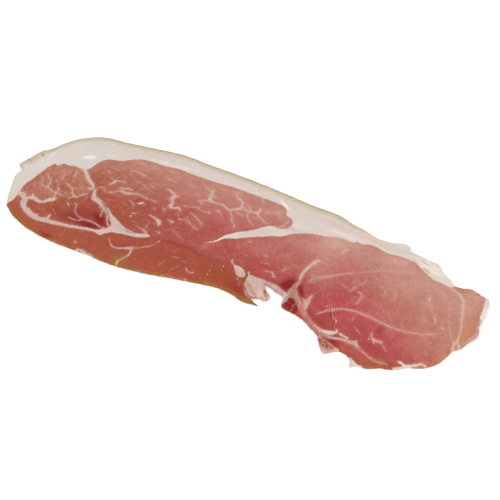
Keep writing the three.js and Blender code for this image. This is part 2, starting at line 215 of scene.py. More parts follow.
BANDS: tuple[Band, ...] = (
    Band("hoop seam", (
        (-124.6, -25.4, 0.9), (-122.4, -26.5, 1.0), (-120.3, -27.2, 1.0), (-118.2, -28.3, 1.6),
        (-117.3, -30.5, 1.65), (-116, -32.6, 1.4), (-113.6, -34.4, 1.2), (-111, -36, 1.2),
        (-106.5, -37.5, 1.4), (-102, -37.9, 1.45), (-98, -37.3, 1.45), (-94, -36.7, 1.25), (-90, -36, 1.2),
        (-86, -35.2, 1.0), (-82, -34.2, 1.0), (-78, -32.9, 0.9), (-74, -31.8, 0.9), (-70, -30.9, 0.8),
        (-66, -30.4, 1.2),
    )),
    Band("hoop's upper arm", (
        (-118.4, -28.4, 1.2), (-116.4, -25.8, 1.2), (-113.6, -25.2, 1.1), (-110.6, -26.1, 0.8),
        (-108, -25.2, 0.8), (-106.6, -23, 1.2), (-105, -21.4, 1.2), (-103.8, -20.2, 0.9),
        (-103.2, -19.6, 0.2),
    )),
    Band("hoop's upper spur", ((-114.6, -25, 0.6), (-115.8, -23.8, 0.5), (-117, -22.8, 0.3))),
    Band("hoop's left spur", ((-119.6, -27, 0.6), (-121, -25, 0.4), (-122.6, -24.2, 0.2))),
    Band("hoop's teeth", (
        (-112.4, -35, 0.5), (-111.2, -33.8, 0.6), (-110, -35, 0.4), (-108.4, -35.4, 0.6),
        (-106.6, -36, 0.4), (-104, -35.6, 0.5),
    ), 0.85),
    Band("hoop's lower spur", ((-97.8, -36, 0.7), (-97.4, -34, 0.6), (-97.8, -32.2, 0.3))),
    Band("slant seam, upper", (
        (-105.4, 9.6, 1.0), (-102.6, 7.6, 0.9), (-99.8, 5.2, 0.8), (-97.2, 3, 0.8), (-94.6, 1.5, 0.7),
        (-92.2, 0.2, 0.7), (-91, -1.4, 0.5),
    )),
    Band("slant seam's crumbs", (
        (-92.9, -2.6, 0.35), (-92, -3.3, 0.4), (-90.9, -2.7, 0.35), (-90.8, -1.6, 0.3),
    )),
    Band("slant seam, lower", (
        (-88.9, -2.2, 0.4), (-88.2, -4, 0.7), (-87, -6.4, 0.9), (-85, -8.4, 1.5), (-82, -9.2, 1.4),
        (-79, -10.4, 1.1), (-76, -12.1, 1.05), (-72.6, -13.9, 1.2), (-69.6, -16, 1.2),
    )),
    Band("knot's upper horn", (
        (-42.4, -21, 1.0), (-43, -19.8, 0.8), (-44.8, -18.7, 0.6), (-47.4, -18.2, 0.4), (-50.2, -17.4, 0.2),
    ), 0.6),
    Band("strip vein", (
        (-58.4, -32.2, 0.1), (-56.4, -34.2, 0.2), (-54, -36, 0.4), (-51.4, -36.3, 0.5), (-48.4, -35, 0.55),
        (-45.6, -33.4, 0.8), (-43.4, -32.4, 1.0),
    ), 0.65),
    Band("strip vein's right arm", (
        (-43.6, -32.6, 0.7), (-41.4, -31, 0.6), (-38.6, -29.4, 0.35), (-36.4, -27.6, 0.35),
        (-34.4, -25.6, 0.25), (-33.6, -23.4, 0.2), (-33.2, -21.4, 0.3),
    ), 0.5),
    Band("strip vein to the edge", (
        (-43.6, -33, 0.5), (-42.6, -34.9, 0.4), (-42.2, -37.4, 0.45), (-42.8, -39.6, 0.4),
        (-43.7, -42, 0.5), (-44.4, -44.6, 0.6), (-43.6, -46.6, 0.4), (-42.8, -48.5, 0.5),
    ), 0.85, beads=1.9),
    # short upper muscle
    Band("web a", (
        (-120.8, -4.4, 0.14), (-118.6, -6.2, 0.18), (-116.6, -7.2, 0.14), (-115, -9.4, 0.18),
        (-114.4, -11.6, 0.18), (-114.2, -13.6, 0.29), (-116, -13.8, 0.22), (-118.4, -13, 0.14),
    ), 0.68),
    Band("web b", (
        (-114.2, -13.6, 0.22), (-112, -14.2, 0.18), (-110, -14.9, 0.25), (-107.6, -15.2, 0.25),
        (-106.4, -14, 0.29), (-106.8, -12.4, 0.22), (-108.4, -11, 0.14),
    ), 0.75),
    Band("web c", ((-106.6, -15.4, 0.36), (-104.6, -15.2, 0.25), (-102.4, -15.2, 0.11)), 0.68),
    Band("web d", (
        (-106.4, -15.4, 0.36), (-105.6, -17.2, 0.29), (-105, -19, 0.36), (-104.8, -20.6, 0.58),
    ), 0.87),
    Band("web e", (
        (-106.4, -5.2, 0.11), (-103.6, -6.8, 0.18), (-101, -7.4, 0.25), (-100, -9, 0.18),
        (-98.2, -10.9, 0.25), (-96.6, -12.5, 0.43), (-95.6, -12.8, 0.65), (-94.4, -12.6, 0.36),
        (-93.8, -11.2, 0.25), (-91.8, -8.6, 0.22), (-90.8, -7, 0.11),
    ), 0.81),
    Band("web f", ((-95.8, -12.8, 0.43), (-96.8, -14.4, 0.25), (-97.6, -16.2, 0.11)), 0.75),
    Band("web g", ((-107.4, 5.4, 0.14), (-107, 4, 0.22), (-106.2, 2.4, 0.25), (-106.6, 1, 0.11)), 0.63),
    Band("web h", ((-112.6, 1.6, 0.11), (-111.6, -1.2, 0.18), (-110.4, -3.4, 0.11)), 0.56),
    Band("web i", ((-113, -6.4, 0.11), (-111.2, -7.2, 0.22), (-109.8, -8.6, 0.11)), 0.56),
    Band("web j", ((-121.4, -8, 0.11), (-119.6, -10.4, 0.18), (-119.8, -12, 0.11)), 0.5),
    Band("web k", ((-115.4, 4.6, 0.11), (-114.2, 2.6, 0.22), (-113.8, 1.4, 0.11)), 0.5),
    Band("web l", ((-104, -1.4, 0.11), (-103.8, -4, 0.18), (-105.4, -5.4, 0.11)), 0.43),
    Band("web m", ((-100.4, -7.4, 0.22), (-98.4, -6, 0.11), (-97, -4, 0.11)), 0.43),
    Band("web n", ((-113.4, -18.6, 0.11), (-111, -17.6, 0.14), (-109.4, -18.6, 0.11)), 0.38),
    # short lower muscle
    Band("dark vein", (
        (-91.6, -17.4, 0.35), (-90.2, -18.2, 0.3), (-89, -20.6, 0.2), (-87.6, -22.8, 0.2),
        (-85.2, -24.8, 0.25), (-83, -25.6, 0.25), (-80.6, -26.3, 0.4), (-78, -26, 0.3), (-75, -25.5, 0.3),
        (-71.6, -25.8, 0.35), (-69, -26.6, 0.4), (-66, -26.6, 0.7),
    ), 0.81, Tissue.SHEET),
    Band("dark vein's beads", (
        (-80.8, -26.6, 0.45), (-81.4, -28, 0.35), (-83.2, -28.8, 0.3), (-85.4, -28.8, 0.3),
        (-88, -28.8, 0.3),
    ), 0.68, beads=1.6),
    Band("dark spur", ((-75.2, -14.6, 0.4), (-74.2, -17, 0.25), (-73, -19.8, 0.15)), 0.68),
    Band("dark spur's twin", ((-78.8, -12, 0.3), (-77.8, -13.6, 0.2), (-76.6, -14.6, 0.15)), 0.54),
    Band("dark vein by the knot", (
        (-70, -17.2, 0.4), (-68.4, -20, 0.25), (-66.8, -22, 0.25), (-65, -23.4, 0.4),
    ), 0.81),
    Band("crumb on the dark", ((-96, -19, 0.2), (-94.6, -19.8, 0.4), (-93.8, -20.6, 0.2)), 0.61),
    Band("hair on the dark", ((-99.6, -27.4, 0.15), (-97.6, -28.6, 0.25), (-95, -30.4, 0.15)), 0.4),
    Band("hair by the crossing", ((-89.8, -8.6, 0.3), (-88.9, -11, 0.2), (-88.6, -12.6, 0.1)), 0.4),
    # long muscle
    Band("beaded vein", (
        (-89, -1.8, 0.2), (-88.2, 0, 0.15), (-86.6, 1.5, 0.25), (-84.8, 0.6, 0.12), (-82.6, -1.4, 0.1),
    ), 0.65),
    Band("beads below", (
        (-81.4, -0.2, 0.2), (-79.6, 0.2, 0.3), (-78.4, 1.6, 0.2), (-77, 2.4, 0.2), (-75.8, 3.8, 0.15),
    ), 0.45, beads=1.5),
    Band("short white vein", (
        (-84.8, 5.2, 0.2), (-84, 6.6, 0.4), (-83.2, 7.6, 0.5), (-83.4, 9, 0.8), (-83, 9.8, 0.6),
    ), 0.85),
    Band("short white vein's beads", (
        (-83, 9.8, 0.4), (-81.2, 10.3, 0.25), (-79.4, 10.8, 0.3), (-77.8, 11.2, 0.4),
    ), 0.6, beads=1.6),
    Band("short white vein's arm", ((-84, 9.8, 0.4), (-86.6, 10.4, 0.35), (-88.8, 11.4, 0.2)), 0.35),
    Band("bowed vein", (
        (-76.6, 4.4, 0.3), (-75, 3.8, 0.6), (-72.8, 3.5, 0.8), (-70, 4.3, 0.75), (-67.6, 5.6, 0.5),
        (-65.6, 6.2, 0.3), (-62, 5.6, 0.12), (-58, 5.3, 0.15), (-54.2, 5.8, 0.2),
    ), 0.71),
    Band("bowed vein's beads", (
        (-77.2, 5.8, 0.35), (-75, 6.2, 0.3), (-73.6, 7.4, 0.4), (-72, 7.7, 0.35), (-70.4, 7.1, 0.25),
    ), 0.75, beads=1.5),
    Band("elbow", (
        (-53.8, 18.4, 0.3), (-51.4, 17.9, 0.55), (-49, 16.6, 0.5), (-47.2, 15.6, 0.6), (-47.2, 14, 1.2),
        (-47, 12.2, 0.9), (-45.6, 10.2, 0.55), (-44.6, 8.4, 0.7), (-44.8, 6.6, 0.8), (-43.4, 5.8, 0.5),
        (-41.6, 6.4, 0.5), (-40.2, 7.6, 0.7), (-38, 6.3, 0.2),
    ), 0.89),
    Band("elbow's heel", ((-47.4, 15.2, 0.6), (-45.4, 15.7, 0.35)), 0.7),
    Band("fork", (
        (-31.6, 30.8, 0.25), (-31.2, 29.2, 0.8), (-30.4, 27.6, 0.6), (-30.2, 25.4, 0.8), (-29, 23, 0.9),
        (-27, 21.9, 0.5), (-24, 22.1, 0.3), (-20.6, 22.6, 0.5), (-18, 21.6, 0.3), (-15.6, 20.9, 0.55),
        (-13.8, 21.6, 0.75), (-12.2, 23.4, 0.7), (-10.4, 25.2, 0.9), (-11, 27.6, 0.45), (-12.2, 30, 0.35),
        (-14.6, 31.3, 0.35), (-17, 32.7, 0.3), (-19, 34.2, 0.15),
    ), 0.81),
    Band("fork's side", ((-30.8, 28.6, 0.5), (-33, 29.4, 0.5), (-35, 30, 0.3), (-37.6, 31.6, 0.15)), 0.54),
    Band("fork's blur", ((-30, 24.6, 0.6), (-28, 25.8, 0.8), (-26.4, 26, 0.4)), 0.3),
    Band("fork's foot", ((-30, 22, 0.4), (-32.8, 19.6, 0.5), (-34, 18, 0.2)), 0.54),
    Band("fork's toe", ((-33.6, 19.2, 0.3), (-31.6, 17.4, 0.3), (-29.8, 15.4, 0.3)), 0.54),
    Band("cross", (
        (-11, 25.2, 0.5), (-8, 25, 0.4), (-5, 25.2, 0.35), (-3, 25.5, 0.5), (-0.9, 26.1, 1.0),
        (-0.4, 27.8, 0.6), (-0.8, 30, 0.3),
    ), 0.74),
    Band("cross's left arm", ((-7.6, 28.8, 0.3), (-5.8, 27.2, 0.4), (-4, 25.6, 0.4)), 0.61),
    Band("cross's hair", ((-0.6, 25.8, 0.5), (2, 23.9, 0.35), (5, 22.2, 0.25), (8, 20.8, 0.15)), 0.61),
    Band("fork's bar", ((-34.4, 30.2, 0.3), (-32, 29.8, 0.6), (-30.4, 28.4, 0.5)), 0.6),
    Band("beads over the cross", (
        (2.6, 28.4, 0.3), (4.4, 29.3, 0.4), (6.6, 30.6, 0.3), (8.4, 32, 0.4), (10.6, 33.6, 0.2),
    ), 0.55, beads=1.7),
    Band("hair over the end", ((8.1, 32.7, 0.3), (10.2, 31, 0.25), (12.6, 28.9, 0.15)), 0.45),
    Band("hair under the fork", ((-21.6, 16.9, 0.2), (-19.6, 16.1, 0.3), (-17.6, 15.4, 0.15)), 0.4),
    Band("crumbs by the elbow", ((-39, 10.6, 0.3), (-37.4, 11, 0.4), (-35.4, 11.4, 0.3)), 0.4, beads=1.6),
    Band("smudge by the strip", ((-11.2, -9.4, 0.6), (-10.8, -12, 1.1), (-10.4, -15.2, 0.6)), 0.2),
    Band("net by the knot a", (
        (-35.6, -13, 0.15), (-34.4, -10.4, 0.3), (-32.4, -9.6, 0.3), (-28.6, -11.2, 0.25),
        (-25, -13.6, 0.3), (-22.6, -15.4, 0.15),
    ), 0.32),
    Band("net by the knot b", ((-34.6, -10.2, 0.3), (-32.8, -7.4, 0.25), (-31.6, -6.2, 0.15)), 0.3),
    Band("net by the knot c", ((-34.6, -0.4, 0.4), (-32.6, 1, 0.3), (-31, 2.6, 0.15)), 0.4),
    Band("net by the knot d", ((-27.6, 0.2, 0.15), (-25, -0.6, 0.3), (-22.2, -2.2, 0.15)), 0.4),
    Band("upper smudge a", ((-67, 13.4, 0.3), (-65.2, 13.2, 0.7), (-63.4, 13.2, 0.3)), 0.32),
    Band("upper smudge b", ((-72, 15.2, 0.2), (-70, 15.6, 0.5), (-68, 15.2, 0.2)), 0.3),
    Band("upper smudge c", ((-75, 22.8, 0.3), (-71, 21.8, 0.4), (-67, 21.2, 0.2)), 0.35),
    Band("upper smudge d", ((-58.4, 5.4, 0.2), (-55.6, 5.6, 0.5), (-53, 5.8, 0.3)), 0.35),
    Band("spots right of the cross", ((3, 29.6, 0.3), (4.4, 29, 0.5), (5, 27.8, 0.2)), 0.54),
    Band("streak at the top", ((6.4, 31, 0.2), (8, 32, 0.5), (9.6, 31.2, 0.2)), 0.54),
    Band("second streak", ((-4, 38, 0.2), (-3, 36.9, 0.4), (-1.4, 35.4, 0.15)), 0.54),
    Band("third streak", ((-19.6, 36.2, 0.3), (-18, 35.8, 0.4), (-16, 35, 0.15)), 0.47),
    Band("hair below the cross", (
        (-4.6, 24.8, 0.2), (-4.6, 22.4, 0.3), (-3.4, 20.4, 0.3), (-1, 18.3, 0.35), (1, 17, 0.25),
        (3.4, 15.6, 0.15),
    ), 0.54),
    Band("long hair", ((-12.6, 21.8, 0.4), (-10, 20.9, 0.25), (-7, 20, 0.2), (-5.4, 20.2, 0.15)), 0.54),
    Band("hooked hair", (
        (-15, 20.6, 0.3), (-12.8, 18.6, 0.25), (-10.6, 16, 0.25), (-10.2, 14.4, 0.35), (-7.8, 12.4, 0.2),
        (-6.2, 10.8, 0.3), (-5.8, 9, 0.3),
    ), 0.61),
    Band("short hair", ((-21.4, 17.6, 0.2), (-19.4, 16.8, 0.3), (-17.4, 15.4, 0.15)), 0.47),
    Band("slant hair", (
        (-31.6, 7.6, 0.2), (-29, 6.8, 0.25), (-26, 5.2, 0.3), (-23, 3.7, 0.3), (-21.4, 2, 0.15),
    ), 0.6),
    Band("slant hair below", (
        (-31, 1.4, 0.15), (-28, 0.6, 0.3), (-25.2, -1, 0.3), (-22.2, -2.4, 0.15),
    ), 0.44),
    Band("row of crumbs", (
        (-34.4, 12, 0.2), (-32.4, 13.2, 0.4), (-30.8, 13.4, 0.25), (-28.4, 12.8, 0.1), (-26, 12.6, 0.3),
        (-24, 13.6, 0.45), (-22.6, 12.4, 0.35),
    ), 0.61, beads=2.6),
    Band("row's outlier", ((-37.6, 11, 0.3), (-36.4, 11.2, 0.4)), 0.54),
    Band("leaf", (
        (-50.4, -5.2, 0.15), (-48, -5.5, 0.3), (-45.8, -6.1, 0.35), (-43.8, -6.9, 0.9), (-42.6, -7.8, 1.1),
        (-41.8, -9.2, 0.6), (-41.1, -10.6, 0.1),
    ), 0.89),
    Band("crumb a", ((-37.2, -3.6, 0.7), (-36.2, -4, 0.6)), 0.68),
    Band("crumb a's tail", ((-39.6, -3.6, 0.2), (-37.4, -3.6, 0.4)), 0.54),
    Band("crumb b", ((-61.4, -0.4, 0.3), (-60.2, 0.2, 0.5), (-59.8, 1.4, 0.5)), 0.95),
    Band("crumb b's dots", ((-59, 1.2, 0.4), (-57.6, 0.4, 0.4)), 0.5),
    Band("crumb c", ((-37.4, -15.6, 0.7), (-36.6, -16.6, 0.4)), 0.61),
    Band("crumb c's tail", ((-39.6, -15.8, 0.3), (-37.6, -15.8, 0.4)), 0.47),
    Band("crumb d", ((-60.2, -8.4, 0.3), (-58.8, -8.2, 0.5), (-57.8, -7.6, 0.3)), 0.61),
    Band("crumb e", ((-47, 3.2, 0.5), (-45.8, 2.4, 0.5)), 0.54),
    Band("crumb f", ((-51.6, 0.9, 0.3), (-50.8, 0.3, 0.4)), 0.47),
    Band("crumb g", ((-38, 3.4, 0.2), (-37, 2.6, 0.4)), 0.41),
    Band("hair g", ((-35, 0.2, 0.3), (-32.6, 0.9, 0.3), (-31, 3, 0.15)), 0.47),
    Band("left hair", ((-66.6, -0.2, 0.2), (-64.4, -1.4, 0.3), (-62, -3, 0.15)), 0.54),
    Band("low hair", ((-50, -9.6, 0.15), (-47.4, -10.8, 0.25), (-46, -13, 0.15)), 0.3),
    Band("low hair's twin", ((-46.6, -14, 0.15), (-45.4, -16, 0.3), (-44.6, -18, 0.2)), 0.47),
    Band("lower hair", (
        (-33.6, -9.6, 0.3), (-31, -10, 0.25), (-28, -11.6, 0.25), (-24.6, -13.6, 0.2),
    ), 0.41),
    Band("end fold", ((15.2, 20.9, 0.6), (16.4, 23, 0.4), (17.2, 25.4, 0.4), (17.5, 28.2, 0.2)), 0.6),
    Band("pale streak a", ((-81.6, 21.8, 0.3), (-79, 23, 0.45), (-75, 23.2, 0.35), (-71, 22.2, 0.25)), 0.5),
    Band("pale streak b", ((-61.6, 27.6, 0.2), (-58, 26.9, 0.45), (-54, 26.4, 0.3)), 0.4),
    Band("pale streak c", ((-84.6, 31.6, 0.3), (-81, 31.4, 0.5), (-77, 30.4, 0.3)), 0.38),
    Band("pale streak d", ((-78, 27.6, 0.3), (-76.4, 27, 0.6), (-74.6, 26.8, 0.2)), 0.4),
    Band("pale streak e", ((-45.4, 28.8, 0.4), (-43.8, 28.5, 0.8), (-42.6, 27.6, 0.3)), 0.35),
    Band("pale streak f", ((-70.6, 15.4, 0.2), (-68.6, 14.9, 0.5), (-66, 13.8, 0.3)), 0.4),
    Band("pale streak g", ((-38.4, 23.4, 0.2), (-36.4, 22.8, 0.45), (-35, 22, 0.2)), 0.38),
    Band("pale streak h", ((-62.4, 33.6, 0.3), (-60, 33.2, 0.6), (-57.6, 33.6, 0.2)), 0.31),
    Band("pale streak i", ((-74.6, 33, 0.3), (-72, 31.6, 0.5), (-69.6, 31, 0.2)), 0.31),
    Band("pale streak j", ((-93.4, 13.8, 0.8), (-91.4, 14.6, 1.2), (-89.8, 13.6, 0.5)), 0.35),
    Band("pale streak k", ((-66, 17, 0.2), (-63.6, 16.6, 0.35), (-61.4, 15.4, 0.15)), 0.31),
    Band("pale streak l", ((-95, 18.4, 0.2), (-91, 18.8, 0.4), (-86.6, 18.4, 0.2)), 0.28),
    # strip
    Band("strip crumb", ((-73.2, -42.8, 0.25), (-72, -43.8, 0.35)), 0.75),
    Band("strip crumb's twin", ((-54.4, -41, 0.3), (-53.2, -41.6, 0.3)), 0.35),
    Band("strip hair a", ((-18.6, -27.4, 0.2), (-15.4, -27.6, 0.2), (-13, -28.2, 0.3)), 0.35),
    Band("strip hair b", (
        (-10.4, -31, 0.15), (-8.6, -32.6, 0.25), (-7, -32.8, 0.3), (-5.4, -31.9, 0.3),
    ), 0.61),
    Band("strip hair c", ((-24.6, -25.6, 0.1), (-21.6, -24.2, 0.2), (-20, -22.6, 0.1)), 0.3),
    Band("strip hair d", ((-7.4, -37.6, 0.15), (-6, -38.4, 0.35), (-5, -38.8, 0.2)), 0.68),
    Band("strip hair g", ((-24.4, -36.8, 0.1), (-23.6, -34, 0.25), (-23.8, -31.8, 0.1)), 0.3),
    Band("strip hair h", ((-20.8, -27.4, 0.15), (-17.4, -27.2, 0.25), (-13.4, -27.8, 0.15)), 0.35),
    Band("strip hair i", ((-16.8, -37.6, 0.1), (-16.4, -34.6, 0.2), (-14, -30.4, 0.1)), 0.25),
    Band("strip hair j", ((-82.6, -33, 0.1), (-83, -38, 0.25), (-81.6, -42.6, 0.2)), 0.22),
    Band("strip hair e", ((-83, -40.6, 0.15), (-82, -42.2, 0.3), (-81.6, -43.4, 0.15)), 0.35),
    Band("strip hair f", ((-0.6, -33.6, 0.15), (3, -34.4, 0.2), (6.6, -35.2, 0.15)), 0.3),
    Band("dry crumbs on the edge", (
        (-69, -47.9, 0.5), (-67, -47, 0.6), (-64.6, -46.9, 0.7), (-62.4, -47.7, 0.7), (-60, -47.4, 0.5),
        (-57, -48, 0.4),
    ), 0.85, beads=2.4),
    Band("dry crumbs further on", (
        (-84, -48.4, 0.3), (-80, -48.8, 0.4), (-76, -48.4, 0.3),
    ), 0.5, beads=2.8),
    Band("dry crumbs by the corner", (
        (-118.4, -41.4, 0.2), (-114.4, -43, 0.35), (-110.8, -45, 0.45), (-108, -46.2, 0.2),
    ), 0.55, beads=2.6),
    Band("dry crumbs on the rise", (
        (-33, -45, 0.3), (-29, -44.4, 0.3), (-12, -40, 0.5), (-8, -39.2, 0.3),
    ), 0.3, beads=3.0),
    # inner thigh muscle
    Band("hooked vein", (
        (45.2, -9.6, 0.3), (44.4, -7, 0.45), (43.8, -4.4, 0.7), (43.9, -1, 0.7), (44.3, 2, 0.8),
        (44.9, 5, 0.8), (45.6, 7.6, 0.8), (46.8, 9.2, 0.4),
    ), 0.84),
    Band("hooked vein's fade", ((45.6, 8, 0.4), (44.4, 12.4, 0.4), (43.8, 16, 0.2)), 0.2),
    Band("bird track", (
        (25.8, -12.2, 0.15), (28, -11.6, 0.25), (29.8, -11, 0.3), (31.2, -12.6, 0.4), (33, -13.6, 0.15),
    ), 0.61),
    Band("bird track's spur", ((31, -12.4, 0.4), (31.6, -14.2, 0.2)), 0.54),
    Band("small dash", ((34.4, -4.4, 0.15), (34.2, -6, 0.3), (34.1, -7.2, 0.15)), 0.54),
    Band("faint dash", ((21.6, -7.6, 0.15), (24.2, -6.6, 0.3)), 0.3),
    Band("faint crumb", ((19.8, -1.2, 0.2), (21, -2, 0.4)), 0.41),
    Band("faint crumb above", ((7, 3.4, 0.3), (8.2, 4.4, 0.5), (8, 5.6, 0.2)), 0.41),
    Band("faint hair", ((12, -13, 0.15), (14, -15, 0.25), (15.6, -16.6, 0.1)), 0.3),
    Band("upper dash", ((55.6, 24.8, 0.4), (54.9, 22.4, 0.5), (54.4, 19.4, 0.2)), 0.47),
    # round muscle
    Band("slit sheet", (
        (49.9, -7.6, 0.5), (50.3, -6.4, 0.9), (51.4, -4.4, 1.0), (53, -2.6, 0.8), (54.6, -1, 0.6),
        (56.4, 0.6, 0.45), (60, 4, 0.45), (64, 7, 0.5), (67, 9, 0.4),
    ), 0.62, Tissue.SHEET),
    Band("slit sheet's run", (
        (67, 9, 0.4), (71, 12, 0.4), (75, 14.6, 0.4), (79, 17.6, 0.4), (83, 20, 0.4), (88, 22.2, 0.4),
        (92, 23.2, 0.3),
    ), 0.4, Tissue.SHEET),
    Band("low sheet", (
        (63.8, -26.4, 0.2), (65.4, -24.2, 0.4), (67.2, -21.4, 0.6), (68.8, -20, 1.0), (70.4, -18.9, 0.6),
        (73, -17.2, 0.4), (77, -15.8, 0.38), (82, -15.3, 0.38), (88, -15.4, 0.38), (94, -16, 0.38),
        (100, -16.4, 0.36), (106, -15.9, 0.34), (111, -14.9, 0.34), (116, -12.8, 0.3), (119.6, -11, 0.3),
        (120.6, -10, 0.1),
    ), 0.71, Tissue.SHEET),
    Band("end sheet", (
        (111, 24.7, 0.4), (114.6, 24.2, 0.4), (117.6, 23.2, 0.4), (120.6, 21.5, 0.4), (123, 19.2, 0.4),
        (124.4, 16.6, 0.35), (125.6, 13.6, 0.3), (127, 9.2, 0.3), (128.4, 5, 0.35), (129.8, 1, 0.3),
        (131.2, -4.4, 0.3), (131.8, -8.4, 0.4), (131.4, -11, 0.5), (131.6, -13.4, 0.7), (132.6, -15.4, 1.0),
    ), 0.8, Tissue.FAT),
    Band("end sheet's outer edge", (
        (132, -8, 0.3), (133.6, -11.4, 0.35), (134, -14.4, 0.6), (133, -16.4, 0.6),
    ), 0.71, Tissue.FAT),
    Band("inner end sheet", (
        (103.4, 20, 0.15), (109, 19, 0.3), (114.4, 16, 0.3), (119, 11, 0.3), (121.7, 5, 0.35),
        (124, -1, 0.35), (127.4, -6.4, 0.35), (130.6, -11.4, 0.3),
    ), 0.28, Tissue.FAT),
    Band("round web a", (
        (66, -1.6, 0.15), (69, -3, 0.25), (70.9, -4.3, 0.4), (72.2, -2, 0.25), (73.2, 1, 0.2),
        (75, 4.4, 0.25), (75.3, 7, 0.15),
    ), 0.4),
    Band("round web c", (
        (75.4, -2.8, 0.2), (77.4, -3.6, 0.3), (78.4, -5, 0.3), (78.2, -8, 0.15), (78.1, -10.6, 0.15),
    ), 0.54),
    Band("star", (
        (93.7, -24.8, 0.2), (94.2, -26.6, 0.35), (95.6, -27.8, 0.5), (97, -28.4, 1.0), (98.6, -27.9, 0.6),
        (100, -27.3, 0.35),
    ), 0.72),
    Band("star's tail", ((98.4, -28.2, 0.4), (101, -28.9, 0.2), (104.2, -31.6, 0.1)), 0.47),
    Band("star's foot", ((96.8, -28.8, 0.5), (97.2, -30.2, 0.2)), 0.68),
    Band("upper tick a", ((84.4, 5.6, 0.15), (86.6, 4.8, 0.25), (88.4, 1.6, 0.15)), 0.41),
    Band("upper tick b", ((89.6, 7.4, 0.15), (91.6, 6, 0.25), (93.2, 3, 0.25), (93.2, 0.4, 0.1)), 0.38),
    Band("upper tick c", ((108.2, 12, 0.3), (108.6, 10.2, 0.7), (109.2, 8.2, 0.3)), 0.55),
    Band("upper tick d", ((111.6, 5.6, 0.2), (112.6, 4, 0.35), (113.8, 1.8, 0.2)), 0.5),
    Band("upper tick e", ((115.2, 1.4, 0.2), (116.4, -0.8, 0.35), (117.9, -3.4, 0.2)), 0.5),
    Band("upper tick h", ((70, 3.4, 0.15), (71, 1.4, 0.25), (71.6, -1, 0.15)), 0.3),
    Band("upper tick i", ((68.6, 6.4, 0.1), (70.4, 5.2, 0.3), (72, 3.8, 0.1)), 0.3),
    Band("upper tick j", ((83.8, 5.8, 0.2), (86, 5, 0.35), (87.8, 2.2, 0.2), (87.6, 0.4, 0.1)), 0.4),
    Band("upper tick k", ((110.8, -2, 0.15), (112, -4.2, 0.3), (112.6, -6, 0.15)), 0.35),
    Band("upper smear", ((106.4, 5.6, 1.4), (110, 6.6, 2.0), (111, 2, 1.4)), 0.16),
    Band("corner smear", ((80, 28.6, 0.8), (84, 28.2, 1.6), (86, 30, 0.8)), 0.2),
    Band("upper tick f", ((111, -1.8, 0.1), (112.4, -4, 0.2), (113, -6, 0.1)), 0.34),
    Band("upper tick g", ((121.8, -5, 0.2), (122.4, -4.8, 0.35)), 0.6),
    Band("pink hair a", ((84.6, -25.2, 0.15), (86.8, -26.6, 0.25), (88.8, -28.2, 0.15)), 0.41),
    Band("pink hair b", ((80.9, -18.6, 0.15), (81.2, -20, 0.25), (81.2, -21.6, 0.1)), 0.38),
    Band("stitches", (
        (70, -20.6, 0.15), (71.6, -23.4, 0.2), (72.6, -24.8, 0.2), (74, -25.2, 0.2), (74.8, -26.4, 0.3),
        (74.8, -28.4, 0.2), (76, -30.4, 0.2), (77.2, -32.2, 0.3),
    ), 0.2, Tissue.SHEET),
    # round the bone and under the round muscle
    Band("cord from the bone", (
        (45.3, -8.6, 0.3), (45.3, -11, 0.7), (45, -13.4, 1.2), (45.2, -16, 1.6), (46, -18.6, 2.2),
        (48.2, -21, 2.2), (51.2, -23.2, 1.7), (54.6, -26, 1.4), (57.8, -29.3, 1.4), (61.8, -32.5, 1.2),
        (65.8, -35.2, 1.2), (70, -37, 1.3), (73.6, -37.3, 1.7), (76.6, -37.1, 1.4),
    ), 0.56, Tissue.SHEET),
    Band("pale core of the cord", (
        (45, -11, 0.5), (44.8, -14.4, 0.7), (45, -17.6, 0.7), (45.4, -20.2, 0.9), (46.8, -22, 0.4),
        (50, -22.6, 0.3), (53.4, -24.6, 0.4), (56.9, -27.9, 0.4), (60.9, -31.2, 0.5), (64.9, -33.9, 0.5),
        (69, -36, 0.7), (72.4, -36.7, 1.4), (75.4, -36.6, 1.4), (77.4, -36.4, 0.7),
    ), 0.8, Tissue.FAT),
    Band("fine line along the cord", (
        (47.4, -17.4, 0.15), (50, -20, 0.25), (53, -22.6, 0.2), (56, -25, 0.15),
    ), 0.5, Tissue.SHEET),
    Band("spike from the cord", (
        (55.5, -15.6, 0.1), (55.7, -18, 0.5), (55.7, -20.6, 1.1), (56.2, -23.6, 1.3), (57.2, -27, 1.1),
    ), 0.8, Tissue.FAT),
    Band("spike's inner arm", ((53, -20.6, 0.3), (54.8, -22, 0.7), (56.4, -24, 1.0)), 0.75, Tissue.SHEET),
    Band("rim round the dark lumps", (
        (45.6, -23.8, 0.5), (47.6, -23.2, 0.4), (50.2, -24, 0.3), (51.8, -26, 0.4), (53.4, -26.8, 0.3),
        (55, -28.4, 0.3),
    ), 0.55, Tissue.SHEET),
    Band("web in the dark lumps", (
        (51.6, -26, 0.3), (51.8, -28.4, 0.3), (51.6, -30.8, 0.2),
    ), 0.5, Tissue.SHEET),
    Band("thread across the dark", (
        (46.6, -25.4, 0.1), (48.6, -27.4, 0.2), (50.8, -28, 0.1),
    ), 0.3, Tissue.SHEET),
    Band("crumbs over the last seam", (
        (79.8, -32.5, 0.3), (80.8, -33.1, 0.6), (82.4, -33.4, 0.35), (84.4, -33.6, 0.5),
    ), 0.9, Tissue.CAP, beads=1.4),
    Band("seam under the round muscle", (
        (72.2, -36.6, 1.2), (74.6, -35.8, 1.4), (76.6, -34.3, 1.1), (77.8, -32.6, 0.9), (77.4, -31, 0.3),
    ), 0.86, Tissue.CAP),
    Band("last seam", (
        (75.4, -37.4, 1.0), (77.4, -38, 0.6), (79.4, -37.2, 0.6), (82, -36, 0.8), (84.6, -35.7, 1.0),
        (87.2, -35.5, 1.15), (89.4, -35.4, 1.3), (91, -36.4, 0.9), (93, -37.4, 0.6),
    ), 0.8, Tissue.FAT),
